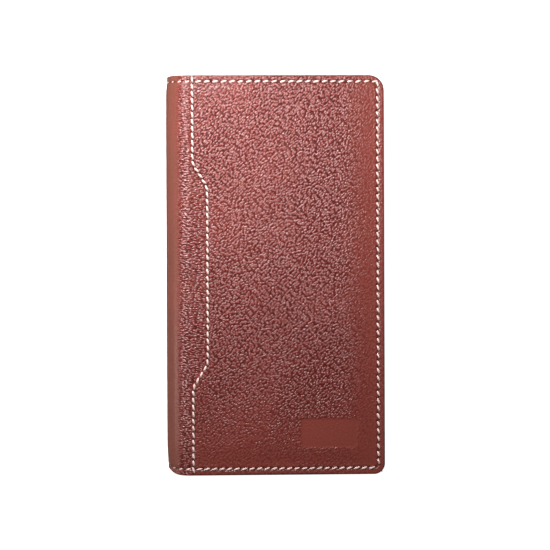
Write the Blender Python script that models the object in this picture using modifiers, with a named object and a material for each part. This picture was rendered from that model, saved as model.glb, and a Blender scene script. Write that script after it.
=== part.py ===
"""A long bifold wallet with a rounded leather spine, closed and lying on its back cover.

X runs from the spine to the fore-edge, Y along the wallet's length, and Z up through its thickness.
The origin is at the middle of the wallet's footprint, on the surface that it lies on.
Each cover is a leather tray that holds foam, a board and a lining. A pocket panel with eight card pockets is
sewn inside the front cover, and a coin pouch with a zip along the fore-edge inside the back cover.
The leather of the spine is one strip on the real wallet. It bends everywhere, so it is cut here into five
stiff lengths with four hinge lines, which turn together as the cover opens.
"""

import math

import bmesh
import bpy
from mathutils import Matrix, Vector

MM = 0.001

# The closed wallet
WIDTH = 100 * MM  # spine to fore-edge
LENGTH = 185 * MM  # along the spine
THICKNESS = 22 * MM  # through both covers
FORE_EDGE = WIDTH / 2
END = LENGTH / 2
TOP_CORNER_RADIUS = 7 * MM
BOTTOM_CORNER_RADIUS = 5 * MM

# The rounded spine, a half cylinder between the covers
SPINE_RADIUS = 10 * MM  # outer surface of the spine leather
SPINE_X = -FORE_EDGE + SPINE_RADIUS  # the cylinder's centre line, where the flat covers begin
SPINE_Z = THICKNESS / 2
SPINE_LEATHER = 1.0 * MM
HINGE_LINES = 4
HINGE_STEP = 180.0 / HINGE_LINES  # degrees that each hinge line turns as the cover opens flat
LINING_OUTER_RADIUS = 8.0 * MM
LINING_INNER_RADIUS = 7.6 * MM
STRIP_GAP = 0.3 * MM

# The layers of a cover, as depths below its outer face
PANEL = (0.0, 0.9 * MM)
PANEL_RIM_DEPTH = 3.4 * MM  # the leather turned round the edge of the board and the lining
PANEL_RIM_WALL = 0.8 * MM
SPINE_FLAP_DEPTH = 1.0 * MM
FOAM = (1.1 * MM, 1.9 * MM)
BOARD = (2.15 * MM, 2.85 * MM)
LINING = (3.0 * MM, 3.4 * MM)
POCKET_PANEL = (4.0 * MM, 4.5 * MM)  # 0.6 mm below the lining: the banknote pocket
FITTED_INSET = 1.1 * MM  # of the foam, board and lining, inside the turned edge
POCKET_PANEL_INSET = 0.4 * MM
POCKET_PANEL_SPINE_EDGE = SPINE_X - 1.5 * MM

# The stepped edge of the leather panel, beside the spine
SEAM_INSET = 2.8 * MM
CONTOUR_SEAM_NARROW = -FORE_EDGE + 11.9 * MM
CONTOUR_SEAM_WIDE = -FORE_EDGE + 18.7 * MM
CONTOUR_SEAM_TO_EDGE = 1.3 * MM
CONTOUR_OUTER_Y = END - 41.3 * MM
CONTOUR_INNER_Y = END - 51.6 * MM
CONTOUR_FILLET = 3 * MM
SPINE_FLAP_END = CONTOUR_SEAM_WIDE + 3.8 * MM

# Thread, laid in a groove along each seam
THREAD_RADIUS = 0.3 * MM
THREAD_DEPTH = 0.34 * MM
GROOVE_RADIUS = 0.45 * MM
GROOVE_DEPTH = 0.25 * MM
SEAM_CORNER = 1.2 * MM

# Card pockets, stacked like shingles on the pocket panel
CARD_POCKETS = 8
CARD_PITCH = 13 * MM
FIRST_MOUTH_Y = 72 * MM
POCKET_LEATHER = 0.3 * MM
POCKET_REACH = 50 * MM  # mouth to the end of the tail
POCKET_BAND = 16 * MM  # the full-width part behind each mouth
POCKET_RISE = 0.42 * MM  # from one pocket to the next
POCKET_START_DEPTH = POCKET_PANEL[1] + 0.15 * MM
POCKET_EDGE = FORE_EDGE - 0.8 * MM
TAIL_INSET = 3.4 * MM

# Coin pouch on the back cover
POUCH_WALL = 0.6 * MM
POUCH_FLOOR = 4.7 * MM
POUCH_HEIGHT = 9.8 * MM
POUCH_MID_Z = POUCH_FLOOR + POUCH_HEIGHT / 2
POUCH_SPINE_EDGE = SPINE_X - 1.0 * MM
POUCH_FORE_EDGE = 44.0 * MM
POUCH_END = 88 * MM
LAYER_GAP = 0.1 * MM
SLIP_POCKET = 0.5 * MM
SLIP_POCKET_MOUTH_Y = 58 * MM
SLIP_POCKET_DIP = 9 * MM
SLIP_POCKET_FORE_EDGE = 36 * MM
POUCH_THREAD_X = 40 * MM

# Zip along the pouch's fore-edge, facing outwards
ZIP_X = 43.0 * MM  # plane of the tapes between the two walls
ZIP_END = 80 * MM
TAPE_END = 86.5 * MM
TAPE = 0.4 * MM
TAPE_FLANGE = 7 * MM
COIL_OUTER = 2.0 * MM  # half the width of the closed chain
COIL_INNER = 0.5 * MM
COIL_HALF_HEIGHT = 0.8 * MM
STOP_LENGTH = 2.5 * MM
STOP_MARGIN = 0.2 * MM

# Zip slider and its pull
SLIDER_Y = 74 * MM  # at rest, with the zip closed
SLIDER_LENGTH = 9 * MM
SLIDER_HALF_WIDTH = 3.2 * MM
SLIDER_HALF_HEIGHT = 1.9 * MM
SLIDER_CAVITY_HALF_HEIGHT = 1.1 * MM
SLIDER_CAVITY_HALF_WIDTH = 2.3 * MM
SLIDER_TAPE_SLOT = 1.0 * MM
SLIDER_POST = 0.5 * MM
SLIDER_POST_LENGTH = 3 * MM
BRIDGE_HALF_LENGTH = 2.8 * MM
BRIDGE_HALF_WIDTH = 0.8 * MM
BRIDGE_TOP = 4.1 * MM  # above the plane of the tapes
BRIDGE_EYE_HALF_LENGTH = 1.6 * MM
BRIDGE_EYE_TOP = 3.5 * MM
PULL_AXIS_HEIGHT = 2.7 * MM
PULL_THICKNESS = 0.9 * MM
PULL_HALF_WIDTH = 2.3 * MM
PULL_LENGTH = 19 * MM
PULL_WINDOW_HALF_WIDTH = 1.2 * MM
PULL_WINDOW = (0.5 * MM, 3.35 * MM)

FRONT, BACK = "front", "back"


# ---------------------------------------------------------------- outlines

def rounded(corners, closed=True, degrees_per_step=15.0):
    """Points of a line through (x, y, radius) corners, each corner rounded by an arc of its radius."""
    count = len(corners)
    points = []
    for i, (x, y, radius) in enumerate(corners):
        corner = Vector((x, y))
        if radius <= 0 or (not closed and i in (0, count - 1)):
            points.append(corner)
            continue
        to_previous = (Vector(corners[i - 1][:2]) - corner).normalized()
        to_next = (Vector(corners[(i + 1) % count][:2]) - corner).normalized()
        half_angle = to_previous.angle(to_next) / 2
        centre = corner + (to_previous + to_next).normalized() * radius / math.sin(half_angle)
        start = corner + to_previous * radius / math.tan(half_angle) - centre
        turn = math.pi - 2 * half_angle
        if to_previous.x * to_next.y - to_previous.y * to_next.x > 0:
            turn = -turn
        steps = max(2, round(abs(math.degrees(turn)) / degrees_per_step))
        for step in range(steps + 1):
            points.append(centre + Matrix.Rotation(turn * step / steps, 2) @ start)
    return [(point.x, point.y) for point in points]


def cover_corners(spine_edge, inset=0.0):
    """A cover's plan: square at the spine, rounded at the fore-edge, drawn in by the inset."""
    right, end = FORE_EDGE - inset, END - inset
    return [
        (spine_edge, -end, 0),
        (right, -end, BOTTOM_CORNER_RADIUS - inset),
        (right, end, TOP_CORNER_RADIUS - inset),
        (spine_edge, end, 0),
    ]


def contour_corners(narrow, wide, end):
    """The stepped line beside the spine, from the top end to the bottom end."""
    return [
        (narrow, end, 0),
        (narrow, CONTOUR_OUTER_Y, CONTOUR_FILLET),
        (wide, CONTOUR_INNER_Y, CONTOUR_FILLET),
        (wide, -CONTOUR_INNER_Y, CONTOUR_FILLET),
        (narrow, -CONTOUR_OUTER_Y, CONTOUR_FILLET),
        (narrow, -end, 0),
    ]


def spine_arc(radius, start, end, steps=4):
    """(x, z) points round the spine. The angle is 0 at the front cover and 180 at the back cover."""
    points = []
    for step in range(steps + 1):
        angle = math.radians(start + (end - start) * step / steps)
        points.append((SPINE_X - radius * math.sin(angle), SPINE_Z + radius * math.cos(angle)))
    return points


# ---------------------------------------------------------------- materials and objects

def material(name, colour, roughness, metallic=0.0):
    made = bpy.data.materials.new(name)
    made.use_nodes = True
    shader = made.node_tree.nodes["Principled BSDF"]
    shader.inputs["Base Color"].default_value = (*colour, 1.0)
    shader.inputs["Roughness"].default_value = roughness
    shader.inputs["Metallic"].default_value = metallic
    return made


def placed(name, mesh, collection, finish):
    obj = bpy.data.objects.new(name, mesh)
    if finish:
        mesh.materials.append(finish)
    collection.objects.link(obj)
    return obj


def mesh_of_curve(curve):
    """The curve's shape as a closed mesh, with its caps welded on. The curve is removed."""
    source = bpy.data.objects.new("shape", curve)
    bpy.context.scene.collection.objects.link(source)
    graph = bpy.context.evaluated_depsgraph_get()
    mesh = bpy.data.meshes.new_from_object(source.evaluated_get(graph))
    bpy.data.objects.remove(source)
    bpy.data.curves.remove(curve)
    shape = bmesh.new()
    shape.from_mesh(mesh)
    bmesh.ops.remove_doubles(shape, verts=shape.verts, dist=1e-6)
    bmesh.ops.recalc_face_normals(shape, faces=shape.faces)
    shape.to_mesh(mesh)
    shape.free()
    mesh.materials.clear()
    return mesh


def flat_mesh(outlines, thickness):
    """A flat sheet of the first outline, with a hole for each of the others, centred on its own plane."""
    curve = bpy.data.curves.new("outline", "CURVE")
    curve.dimensions = "2D"
    curve.fill_mode = "BOTH"
    curve.extrude = thickness / 2
    for outline in outlines:
        spline = curve.splines.new("POLY")
        spline.points.add(len(outline) - 1)
        for point, (x, y) in zip(spline.points, outline):
            point.co = (x, y, 0, 1)
        spline.use_cyclic_u = True
    return mesh_of_curve(curve)


def sheet(name, outlines, low, high, collection, finish=None):
    """A flat piece that lies level between two heights."""
    obj = placed(name, flat_mesh(outlines, high - low), collection, finish)
    obj.location.z = (low + high) / 2
    return obj


def bar(name, profile, half_length, collection, finish):
    """A profile of (x, z) points carried along Y, as far each way from the middle."""
    obj = placed(name, flat_mesh([profile], 2 * half_length), collection, finish)
    obj.rotation_euler.x = math.pi / 2
    return obj


def block(name, low, high, collection, finish=None):
    """A box between two corners, with its origin at its middle."""
    low, high = Vector(low), Vector(high)
    shape = bmesh.new()
    bmesh.ops.create_cube(shape, size=1.0)
    bmesh.ops.scale(shape, vec=high - low, verts=shape.verts)
    mesh = bpy.data.meshes.new(name)
    shape.to_mesh(mesh)
    shape.free()
    obj = placed(name, mesh, collection, finish)
    obj.location = (low + high) / 2
    return obj


def tube(name, points, radius, collection, finish=None):
    """A round cord along (x, y, z) points."""
    curve = bpy.data.curves.new(name, "CURVE")
    curve.dimensions = "3D"
    curve.bevel_depth = radius
    curve.bevel_resolution = 1
    curve.use_fill_caps = True
    spline = curve.splines.new("POLY")
    spline.points.add(len(points) - 1)
    for point, co in zip(spline.points, points):
        point.co = (*co, 1)
    return placed(name, mesh_of_curve(curve), collection, finish)


def bevel(obj, width, segments=2):
    modifier = obj.modifiers.new("rounded_edges", "BEVEL")
    modifier.width = width
    modifier.segments = segments
    modifier.limit_method = "ANGLE"
    modifier.angle_limit = math.radians(50)


def boolean(obj, other, operation="DIFFERENCE"):
    """Cuts or joins obj with another mesh object, which then stays as a hidden helper."""
    modifier = obj.modifiers.new(operation.lower(), "BOOLEAN")
    modifier.operation = operation
    modifier.object = other
    other.hide_render = True
    other.display_type = "WIRE"


def pivot(name, location, parent, collection):
    """An empty on a joint's axis, which carries the pieces that turn or slide there."""
    empty = bpy.data.objects.new(name, None)
    collection.objects.link(empty)
    empty.empty_display_size = 5 * MM
    empty.location = Vector(location) - (Vector(parent["at"]) if parent else Vector())
    empty.parent = parent
    empty["at"] = location
    return empty


def carry(joint, *objects):
    """Fixes pieces to a pivot without moving them."""
    for obj in objects:
        obj.parent = joint
        obj.matrix_parent_inverse = Matrix.Translation(-Vector(joint["at"]))


# ---------------------------------------------------------------- the covers

def level(side, depth):
    """Height of a layer that lies this deep below the cover's outer face."""
    return THICKNESS - depth if side == FRONT else depth


def layer(side, name, outlines, depths, collection, finish=None):
    low, high = sorted(level(side, depth) for depth in depths)
    return sheet(f"{side}_{name}", outlines, low, high, collection, finish)


def seam_path(side):
    """Perimeter seam of a cover, which runs off the panel at the spine."""
    start = CONTOUR_SEAM_NARROW - CONTOUR_SEAM_TO_EDGE + 0.4 * MM
    right, end = FORE_EDGE - SEAM_INSET, END - SEAM_INSET
    corners = [(start, end, 0), (right, end, SEAM_CORNER), (right, -end, SEAM_CORNER), (start, -end, 0)]
    return rounded(corners, closed=False, degrees_per_step=30)


def contour_path(side):
    end = END - SEAM_INSET - 2 * GROOVE_RADIUS
    corners = contour_corners(CONTOUR_SEAM_NARROW, CONTOUR_SEAM_WIDE, end)
    return rounded(corners, closed=False)


def leather_panel(side, parts, cutters, leather, thread):
    """The cover's outer leather, turned down round three sides, with its two seams and their thread."""
    edge_narrow = CONTOUR_SEAM_NARROW - CONTOUR_SEAM_TO_EDGE
    edge_wide = CONTOUR_SEAM_WIDE - CONTOUR_SEAM_TO_EDGE
    plan = cover_corners(edge_narrow)[1:3] + contour_corners(edge_narrow, edge_wide, END)
    panel = layer(side, "leather_panel", [rounded(plan)], (0.0, PANEL_RIM_DEPTH), parts, leather)
    bevel(panel, 0.35 * MM, 1)

    past_spine, past_end = edge_narrow - 5 * MM, END + 1 * MM
    rim_start, inner_end = SPINE_FLAP_END + STRIP_GAP, END - PANEL_RIM_WALL
    hollow = rounded(
        [(past_spine, -past_end, 0), (rim_start, -past_end, 0), (rim_start, -inner_end, 0)]
        + cover_corners(rim_start, PANEL_RIM_WALL)[1:3]
        + [(rim_start, inner_end, 0), (rim_start, past_end, 0), (past_spine, past_end, 0)]
    )
    cavity = layer(side, "cavity", [hollow], (PANEL[1], PANEL_RIM_DEPTH + 1 * MM), cutters)
    boolean(panel, cavity)

    pieces = [panel]
    for seam, path in (("edge_seam", seam_path(side)), ("contour_seam", contour_path(side))):
        groove = [(x, y, level(side, GROOVE_DEPTH)) for x, y in path]
        boolean(panel, tube(f"{side}_{seam}_groove", groove, GROOVE_RADIUS, cutters))
        laid = [(x, y, level(side, THREAD_DEPTH)) for x, y in path]
        pieces.append(tube(f"{side}_{seam}_thread", laid, THREAD_RADIUS, parts, thread))
    return pieces


def cover(side, parts, cutters, finishes):
    """The layers that both covers have, from the outer leather inwards."""
    pieces = leather_panel(side, parts, cutters, finishes["leather"], finishes["thread"])
    foam_edge = SPINE_FLAP_END + 1 * MM
    board_edge = SPINE_X + 1 * MM
    lining_edge = SPINE_X + STRIP_GAP
    for name, edge, inset, depths, finish in (
        ("foam_pad", foam_edge, FITTED_INSET, FOAM, "foam"),
        ("stiffener_board", board_edge, FITTED_INSET, BOARD, "board"),
        ("lining", lining_edge, FITTED_INSET, LINING, "lining"),
        ("pocket_panel", POCKET_PANEL_SPINE_EDGE, POCKET_PANEL_INSET, POCKET_PANEL, "inner_leather"),
    ):
        plan = rounded(cover_corners(edge, inset))
        pieces.append(layer(side, name, [plan], depths, parts, finishes[finish]))
    return pieces


def card_pocket(number, parts, leather):
    """A T-shaped pocket: a full-width band with its mouth on top, and a narrower tail behind it.

    It leans like a shingle, with the end of its tail on the pocket panel. The last pocket is a plain
    rectangle that reaches down to the seam at the wallet's end.
    """
    mouth_y = FIRST_MOUTH_Y - (number - 1) * CARD_PITCH
    left, right = POCKET_PANEL_SPINE_EDGE, POCKET_EDGE
    rise = POCKET_RISE * POCKET_REACH / CARD_PITCH
    last = number == CARD_POCKETS
    reach = mouth_y + END - 0.9 * MM if last else POCKET_REACH
    if last:
        outline = [(left, 0), (right, 0), (right, reach), (left, reach)]
    else:
        band = reach - POCKET_BAND
        outline = [
            (left + TAIL_INSET, 0),
            (right - TAIL_INSET, 0),
            (right - TAIL_INSET, band),
            (right, band),
            (right, reach),
            (left, reach),
            (left, band),
            (left + TAIL_INSET, band),
        ]
    obj = placed(f"card_pocket_{number}", flat_mesh([outline], POCKET_LEATHER), parts, leather)
    obj.location = (0, mouth_y - reach, level(FRONT, POCKET_START_DEPTH + POCKET_LEATHER / 2))
    obj.rotation_euler.x = -math.atan2(rise, reach)
    return obj


# ---------------------------------------------------------------- the spine

def spine_lengths():
    """(name, first angle, last angle) of the lengths that the spine is cut into, from front to back."""
    half_gap = math.degrees(STRIP_GAP / 2 / SPINE_RADIUS)
    hinge = [HINGE_STEP * (line + 0.5) for line in range(HINGE_LINES)]
    lengths = [("front_flap", 0.0, hinge[0] - half_gap)]
    for strip in range(HINGE_LINES - 1):
        lengths.append((f"strip_{strip + 1}", hinge[strip] + half_gap, hinge[strip + 1] - half_gap))
    lengths.append(("back_flap", hinge[-1] + half_gap, 180.0))
    return lengths


def spine_layer(name, outer, inner, flap_reach, length, collection, finish):
    """One length of a bent sheet round the spine. A flap also runs flat under its cover's panel."""
    part, start, end = length
    profile = spine_arc(outer, start, end) + spine_arc(inner, start, end)[::-1]
    if flap_reach and part == "front_flap":
        profile = [(flap_reach, SPINE_Z + inner), (flap_reach, SPINE_Z + outer)] + profile
    if flap_reach and part == "back_flap":
        turn = len(profile) // 2
        flat_end = [(flap_reach, SPINE_Z - outer), (flap_reach, SPINE_Z - inner)]
        profile = profile[:turn] + flat_end + profile[turn:]
    return bar(f"{name}_{part}", profile, END, collection, finish)


# ---------------------------------------------------------------- the coin pouch and its zip

def pouch(parts, cutters, finishes):
    leather, lining = finishes["inner_leather"], finishes["lining"]
    top = POUCH_FLOOR + POUCH_HEIGHT
    inner_low = POUCH_FLOOR + POUCH_WALL + LAYER_GAP
    inner_high = top - POUCH_WALL - LAYER_GAP
    left, right, end = POUCH_SPINE_EDGE, POUCH_FORE_EDGE, POUCH_END

    floor = block(
        "pouch_floor", (left, -end, POUCH_FLOOR), (right, end, POUCH_FLOOR + POUCH_WALL), parts, lining
    )
    face = block("pouch_face", (left, -end, top - POUCH_WALL), (right, end, top), parts, leather)
    spine_gusset = block(
        "pouch_spine_gusset", (left, -end, inner_low), (left + POUCH_WALL, end, inner_high), parts, lining
    )
    pieces = [floor, face, spine_gusset]
    gusset_left = left + POUCH_WALL + LAYER_GAP
    gusset_right = ZIP_X - TAPE
    for place, sign in (("top", 1), ("bottom", -1)):
        low_y, high_y = sorted((sign * end, sign * (end - POUCH_WALL)))
        low = (gusset_left, low_y, inner_low)
        pieces.append(
            block(f"pouch_{place}_gusset", low, (gusset_right, high_y, inner_high), parts, leather)
        )

    line_x, line_z = POUCH_THREAD_X, top
    groove = [(line_x, -end + 1 * MM, line_z - 0.1 * MM), (line_x, end - 1 * MM, line_z - 0.1 * MM)]
    boolean(face, tube("pouch_groove", groove, 0.4 * MM, cutters))
    laid = [(line_x, -end + 1.5 * MM, line_z - 0.2 * MM), (line_x, end - 1.5 * MM, line_z - 0.2 * MM)]
    pieces.append(tube("pouch_seam_thread", laid, 0.2 * MM, parts, finishes["thread"]))

    middle = (left + SLIP_POCKET_FORE_EDGE) / 2
    mouth, dip = SLIP_POCKET_MOUTH_Y, SLIP_POCKET_DIP
    notch = 24 * MM
    plan = rounded([
        (left, -end, 0),
        (SLIP_POCKET_FORE_EDGE, -end, 0),
        (SLIP_POCKET_FORE_EDGE, mouth, 1 * MM),
        (middle + notch, mouth, 12 * MM),
        (middle + notch / 2, mouth - dip, 12 * MM),
        (middle - notch / 2, mouth - dip, 12 * MM),
        (middle - notch, mouth, 12 * MM),
        (left, mouth, 1 * MM),
    ])
    low = top + LAYER_GAP
    pieces.append(sheet("pouch_slip_pocket", [plan], low, low + SLIP_POCKET, parts, leather))
    return pieces


def zip_tape(side, parts, finish):
    """A tape glued inside one wall of the pouch, which turns and runs to the middle of the mouth."""
    sign = 1 if side == "upper" else -1
    wall = POUCH_HEIGHT / 2 - POUCH_WALL - LAYER_GAP
    coil_edge = COIL_OUTER + LAYER_GAP
    corners = [
        (ZIP_X - TAPE_FLANGE, wall, 0),
        (ZIP_X - TAPE_FLANGE, wall - TAPE, 0),
        (ZIP_X - TAPE / 2, wall - TAPE, 0),
        (ZIP_X - TAPE / 2, coil_edge, 0),
        (ZIP_X + TAPE / 2, coil_edge, 0),
        (ZIP_X + TAPE / 2, wall, TAPE),
    ]
    profile = [(x, POUCH_MID_Z + sign * z) for x, z in rounded(corners, degrees_per_step=30)]
    return bar(f"zip_{side}_tape", profile, TAPE_END, parts, finish)


def zip_chain(parts, finishes):
    """Tapes, coils and stops: all of the zip that stays with the pouch."""
    pieces = []
    near, far = ZIP_X - COIL_HALF_HEIGHT, ZIP_X + COIL_HALF_HEIGHT
    stop_y = ZIP_END + STOP_MARGIN
    for side, sign in (("lower", -1), ("upper", 1)):
        pieces.append(zip_tape(side, parts, finishes["tape"]))
        low_z, high_z = sorted(POUCH_MID_Z + sign * width for width in (COIL_INNER, COIL_OUTER))
        coil = block(
            f"zip_{side}_coil", (near, -ZIP_END, low_z), (far, ZIP_END, high_z), parts, finishes["coil"]
        )
        bevel(coil, 0.25 * MM, 1)
        stop = block(
            f"zip_{side}_top_stop",
            (near, stop_y, low_z),
            (far, stop_y + STOP_LENGTH, high_z),
            parts,
            finishes["metal"],
        )
        bevel(stop, 0.2 * MM, 1)
        pieces += [coil, stop]
    bottom_stop = block(
        "zip_bottom_stop",
        (near, -stop_y - STOP_LENGTH, POUCH_MID_Z - COIL_OUTER),
        (far, -stop_y, POUCH_MID_Z + COIL_OUTER),
        parts,
        finishes["metal"],
    )
    bevel(bottom_stop, 0.2 * MM, 1)
    return pieces + [bottom_stop]


def slider_block(name, x_low, x_high, half_length, half_width, collection, y=SLIDER_Y):
    """A block of the slider, whose heights are measured from the plane of the tapes."""
    low = (ZIP_X + x_low, y - half_length, POUCH_MID_Z - half_width)
    high = (ZIP_X + x_high, y + half_length, POUCH_MID_Z + half_width)
    return block(name, low, high, collection)


def zip_slider(parts, cutters, metal):
    """Two plates joined by a post between the coils, with a bridge on the outer plate for the pull."""
    half_length = SLIDER_LENGTH / 2
    body = slider_block(
        "zip_slider", -SLIDER_HALF_HEIGHT, SLIDER_HALF_HEIGHT, half_length, SLIDER_HALF_WIDTH, parts
    )
    body.data.materials.append(metal)
    bevel(body, 0.5 * MM)

    past = half_length + 1 * MM
    cavity = SLIDER_CAVITY_HALF_HEIGHT
    boolean(body, slider_block("coil_channel", -cavity, cavity, past, SLIDER_CAVITY_HALF_WIDTH, cutters))
    slot = SLIDER_TAPE_SLOT / 2
    boolean(body, slider_block("tape_slot", -slot, slot, past, SLIDER_HALF_WIDTH + 1 * MM, cutters))

    overlap = 0.3 * MM
    post_y = SLIDER_Y + half_length - SLIDER_POST_LENGTH
    post = slider_block(
        "post", -cavity - overlap, cavity + overlap, SLIDER_POST_LENGTH / 2, SLIDER_POST / 2, cutters, post_y
    )
    boolean(body, post, "UNION")

    bridge = slider_block(
        "bridge", SLIDER_HALF_HEIGHT - overlap, BRIDGE_TOP, BRIDGE_HALF_LENGTH, BRIDGE_HALF_WIDTH, cutters
    )
    bevel(bridge, 0.25 * MM, 1)
    eye = slider_block(
        "bridge_eye",
        SLIDER_HALF_HEIGHT,
        BRIDGE_EYE_TOP,
        BRIDGE_EYE_HALF_LENGTH,
        BRIDGE_HALF_WIDTH + 1 * MM,
        cutters,
    )
    boolean(bridge, eye)
    boolean(body, bridge, "UNION")
    return body


def zip_pull(parts, metal):
    """A flat pull whose bar passes through the slider's bridge. Its origin is on the bar's axis."""
    half, near, far = PULL_HALF_WIDTH, PULL_WINDOW[0], PULL_WINDOW[1]
    outline = rounded([
        (near, -half, 0.4 * MM),
        (near, half, 0.4 * MM),
        (-6 * MM, half - 0.5 * MM, 3 * MM),
        (-PULL_LENGTH, half + 0.4 * MM, 2.4 * MM),
        (-PULL_LENGTH, -half - 0.4 * MM, 2.4 * MM),
        (-6 * MM, -half + 0.5 * MM, 3 * MM),
    ])
    window_half = PULL_WINDOW_HALF_WIDTH
    window = [(-near, -window_half), (-near, window_half), (-far, window_half), (-far, -window_half)]
    pull = placed("zip_pull", flat_mesh([outline, window], PULL_THICKNESS), parts, metal)
    pull.rotation_euler = (math.pi / 2, 0, math.pi / 2)
    pull.location = (ZIP_X + PULL_AXIS_HEIGHT, SLIDER_Y, POUCH_MID_Z)
    return pull


# ---------------------------------------------------------------- the wallet

def hinge_pivots(parts):
    """Empties on the four hinge lines of the spine, from the back cover up to the front cover."""
    joints, parent = [], None
    for line in reversed(range(HINGE_LINES)):
        angle = HINGE_STEP * (line + 0.5)
        x, z = spine_arc(SPINE_RADIUS, angle, angle, 1)[0]
        parent = pivot(f"fold_{HINGE_LINES - line}", (x, 0.0, z), parent, parts)
        joints.append(parent)
    return joints


def build():
    for obj in list(bpy.data.objects):
        bpy.data.objects.remove(obj)
    parts = bpy.data.collections.new("long_wallet")
    cutters = bpy.data.collections.new("cutters")
    for collection in (parts, cutters):
        bpy.context.scene.collection.children.link(collection)

    finishes = {
        "leather": material("outer_leather", (0.31, 0.062, 0.045), 0.42),
        "inner_leather": material("inner_leather", (0.27, 0.055, 0.04), 0.5),
        "lining": material("lining", (0.10, 0.05, 0.035), 0.8),
        "foam": material("foam", (0.75, 0.73, 0.66), 0.95),
        "board": material("board", (0.30, 0.24, 0.18), 0.9),
        "thread": material("thread", (0.85, 0.74, 0.69), 0.7),
        "tape": material("zip_tape", (0.13, 0.045, 0.035), 0.9),
        "coil": material("zip_coil", (0.16, 0.055, 0.04), 0.45),
        "metal": material("zip_metal", (0.66, 0.60, 0.48), 0.28, 1.0),
    }

    folds = hinge_pivots(parts)
    front = cover(FRONT, parts, cutters, finishes)
    front += [card_pocket(number + 1, parts, finishes["inner_leather"]) for number in range(CARD_POCKETS)]
    cover(BACK, parts, cutters, finishes)

    inner_radius = SPINE_RADIUS - SPINE_LEATHER
    carriers = [folds[3], folds[2], folds[1], folds[0], None]  # of each spine length, front to back
    for length, carrier in zip(spine_lengths(), carriers):
        leather = spine_layer(
            "spine_leather", SPINE_RADIUS, inner_radius, SPINE_FLAP_END, length, parts, finishes["leather"]
        )
        lining = spine_layer(
            "spine_lining", LINING_OUTER_RADIUS, LINING_INNER_RADIUS, None, length, parts, finishes["lining"]
        )
        if carrier:
            carry(carrier, leather, lining)
    carry(folds[3], *front)

    pouch(parts, cutters, finishes)
    zip_chain(parts, finishes)
    slide = pivot("zip_slide", (ZIP_X, SLIDER_Y, POUCH_MID_Z), None, parts)
    swing = pivot("pull_swing", (ZIP_X + PULL_AXIS_HEIGHT, SLIDER_Y, POUCH_MID_Z), slide, parts)
    carry(slide, zip_slider(parts, cutters, finishes["metal"]))
    carry(swing, zip_pull(parts, finishes["metal"]))


build()
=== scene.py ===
# %% [markdown]
# # A long leather wallet, finished
# The stiff frame of the wallet comes from its CAD model: two covers, a rounded spine that folds along four
# lines, card pockets inside the front cover, and a zipped coin pouch inside the back cover. This script
# dresses that frame: grained leather, pale stitching, lining cloth, zip and thread. Every new piece is a
# surface worked out with numpy, and each but the four lengths of the spine rides on one of the frame's
# bodies. Lengths are written in millimetres, and turned into metres only when a mesh is made.

# %% Load the frame
import math

import bmesh
import bpy
import numpy as np
from mathutils import Matrix, Quaternion, Vector


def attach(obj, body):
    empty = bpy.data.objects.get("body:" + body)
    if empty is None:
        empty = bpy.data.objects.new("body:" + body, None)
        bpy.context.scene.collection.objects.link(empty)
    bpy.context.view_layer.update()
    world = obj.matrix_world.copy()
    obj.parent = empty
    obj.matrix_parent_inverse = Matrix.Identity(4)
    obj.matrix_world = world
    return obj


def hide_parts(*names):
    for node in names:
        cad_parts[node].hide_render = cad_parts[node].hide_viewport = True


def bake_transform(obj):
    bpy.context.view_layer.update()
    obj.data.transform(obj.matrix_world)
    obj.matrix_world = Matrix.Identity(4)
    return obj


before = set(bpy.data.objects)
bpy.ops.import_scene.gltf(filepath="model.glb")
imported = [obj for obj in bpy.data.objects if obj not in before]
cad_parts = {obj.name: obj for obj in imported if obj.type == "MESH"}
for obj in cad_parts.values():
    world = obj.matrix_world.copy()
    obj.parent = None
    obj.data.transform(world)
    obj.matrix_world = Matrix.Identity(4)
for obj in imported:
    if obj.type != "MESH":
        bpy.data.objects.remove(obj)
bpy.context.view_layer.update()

# %% [markdown]
# ## Sizes
# The same few sizes drive every piece. X runs from the spine to the fore-edge, Y along the wallet and Z up
# through its thickness. A cover's layers are given as depths below its outer face.

# %% Sizes in millimetres
MM = 0.001
FRONT, BACK = "front", "back"
# The closed wallet: its half width, its half length and its thickness, and the radii of its corners.
FORE_EDGE, END, THICK = 50.0, 92.5, 22.0
TOP_CORNER, BOTTOM_CORNER = 7.0, 5.0
# The spine is a half circle about this centre. Its leather runs flat under each panel as far as FLAP_END.
SPINE_X, SPINE_Z, SPINE_R = -40.0, 11.0, 10.0
FLAP_END = -27.5
# The panel's stepped edge lies at the first x near the ends and at the second in the middle. Its two slants
# lie between these distances from the middle of the wallet.
EDGE_NARROW, EDGE_WIDE = -40.2, -33.4
STEP_OUTER, STEP_INNER = 51.2, 40.6
# Seams, measured from the edge that they follow, and the turned rim under a panel.
SEAM_INSET, CONTOUR_INSET = 3.0, 1.3
RIM_DEPTH, RIM_WALL = 3.4, 0.8
rng = np.random.default_rng(11)
print("closed wallet in mm:", 2 * FORE_EDGE, "x", 2 * END, "x", THICK)

# %% [markdown]
# ## Turning arrays into meshes
# A mesh needs points and faces. A grid of points gives its faces by counting: each square joins four
# neighbours. Where the last column joins the first, the grid is a tube, and it is closed by a cap at each
# end. These helpers do that counting with whole arrays, and make one object at the origin.


# %% Mesh helpers
def quads(rows, cols, first=0, ring=False):
    """Faces of a grid of rows x cols points, counted row by row. ring joins the last column to the first."""
    across = np.arange(cols if ring else cols - 1)
    beside = (across + 1) % cols
    low = (np.arange(rows - 1) * cols)[:, None] + first
    square = np.stack([low + across, low + beside, low + cols + beside, low + cols + across], axis=-1)
    return square.reshape(-1, 4)


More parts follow.
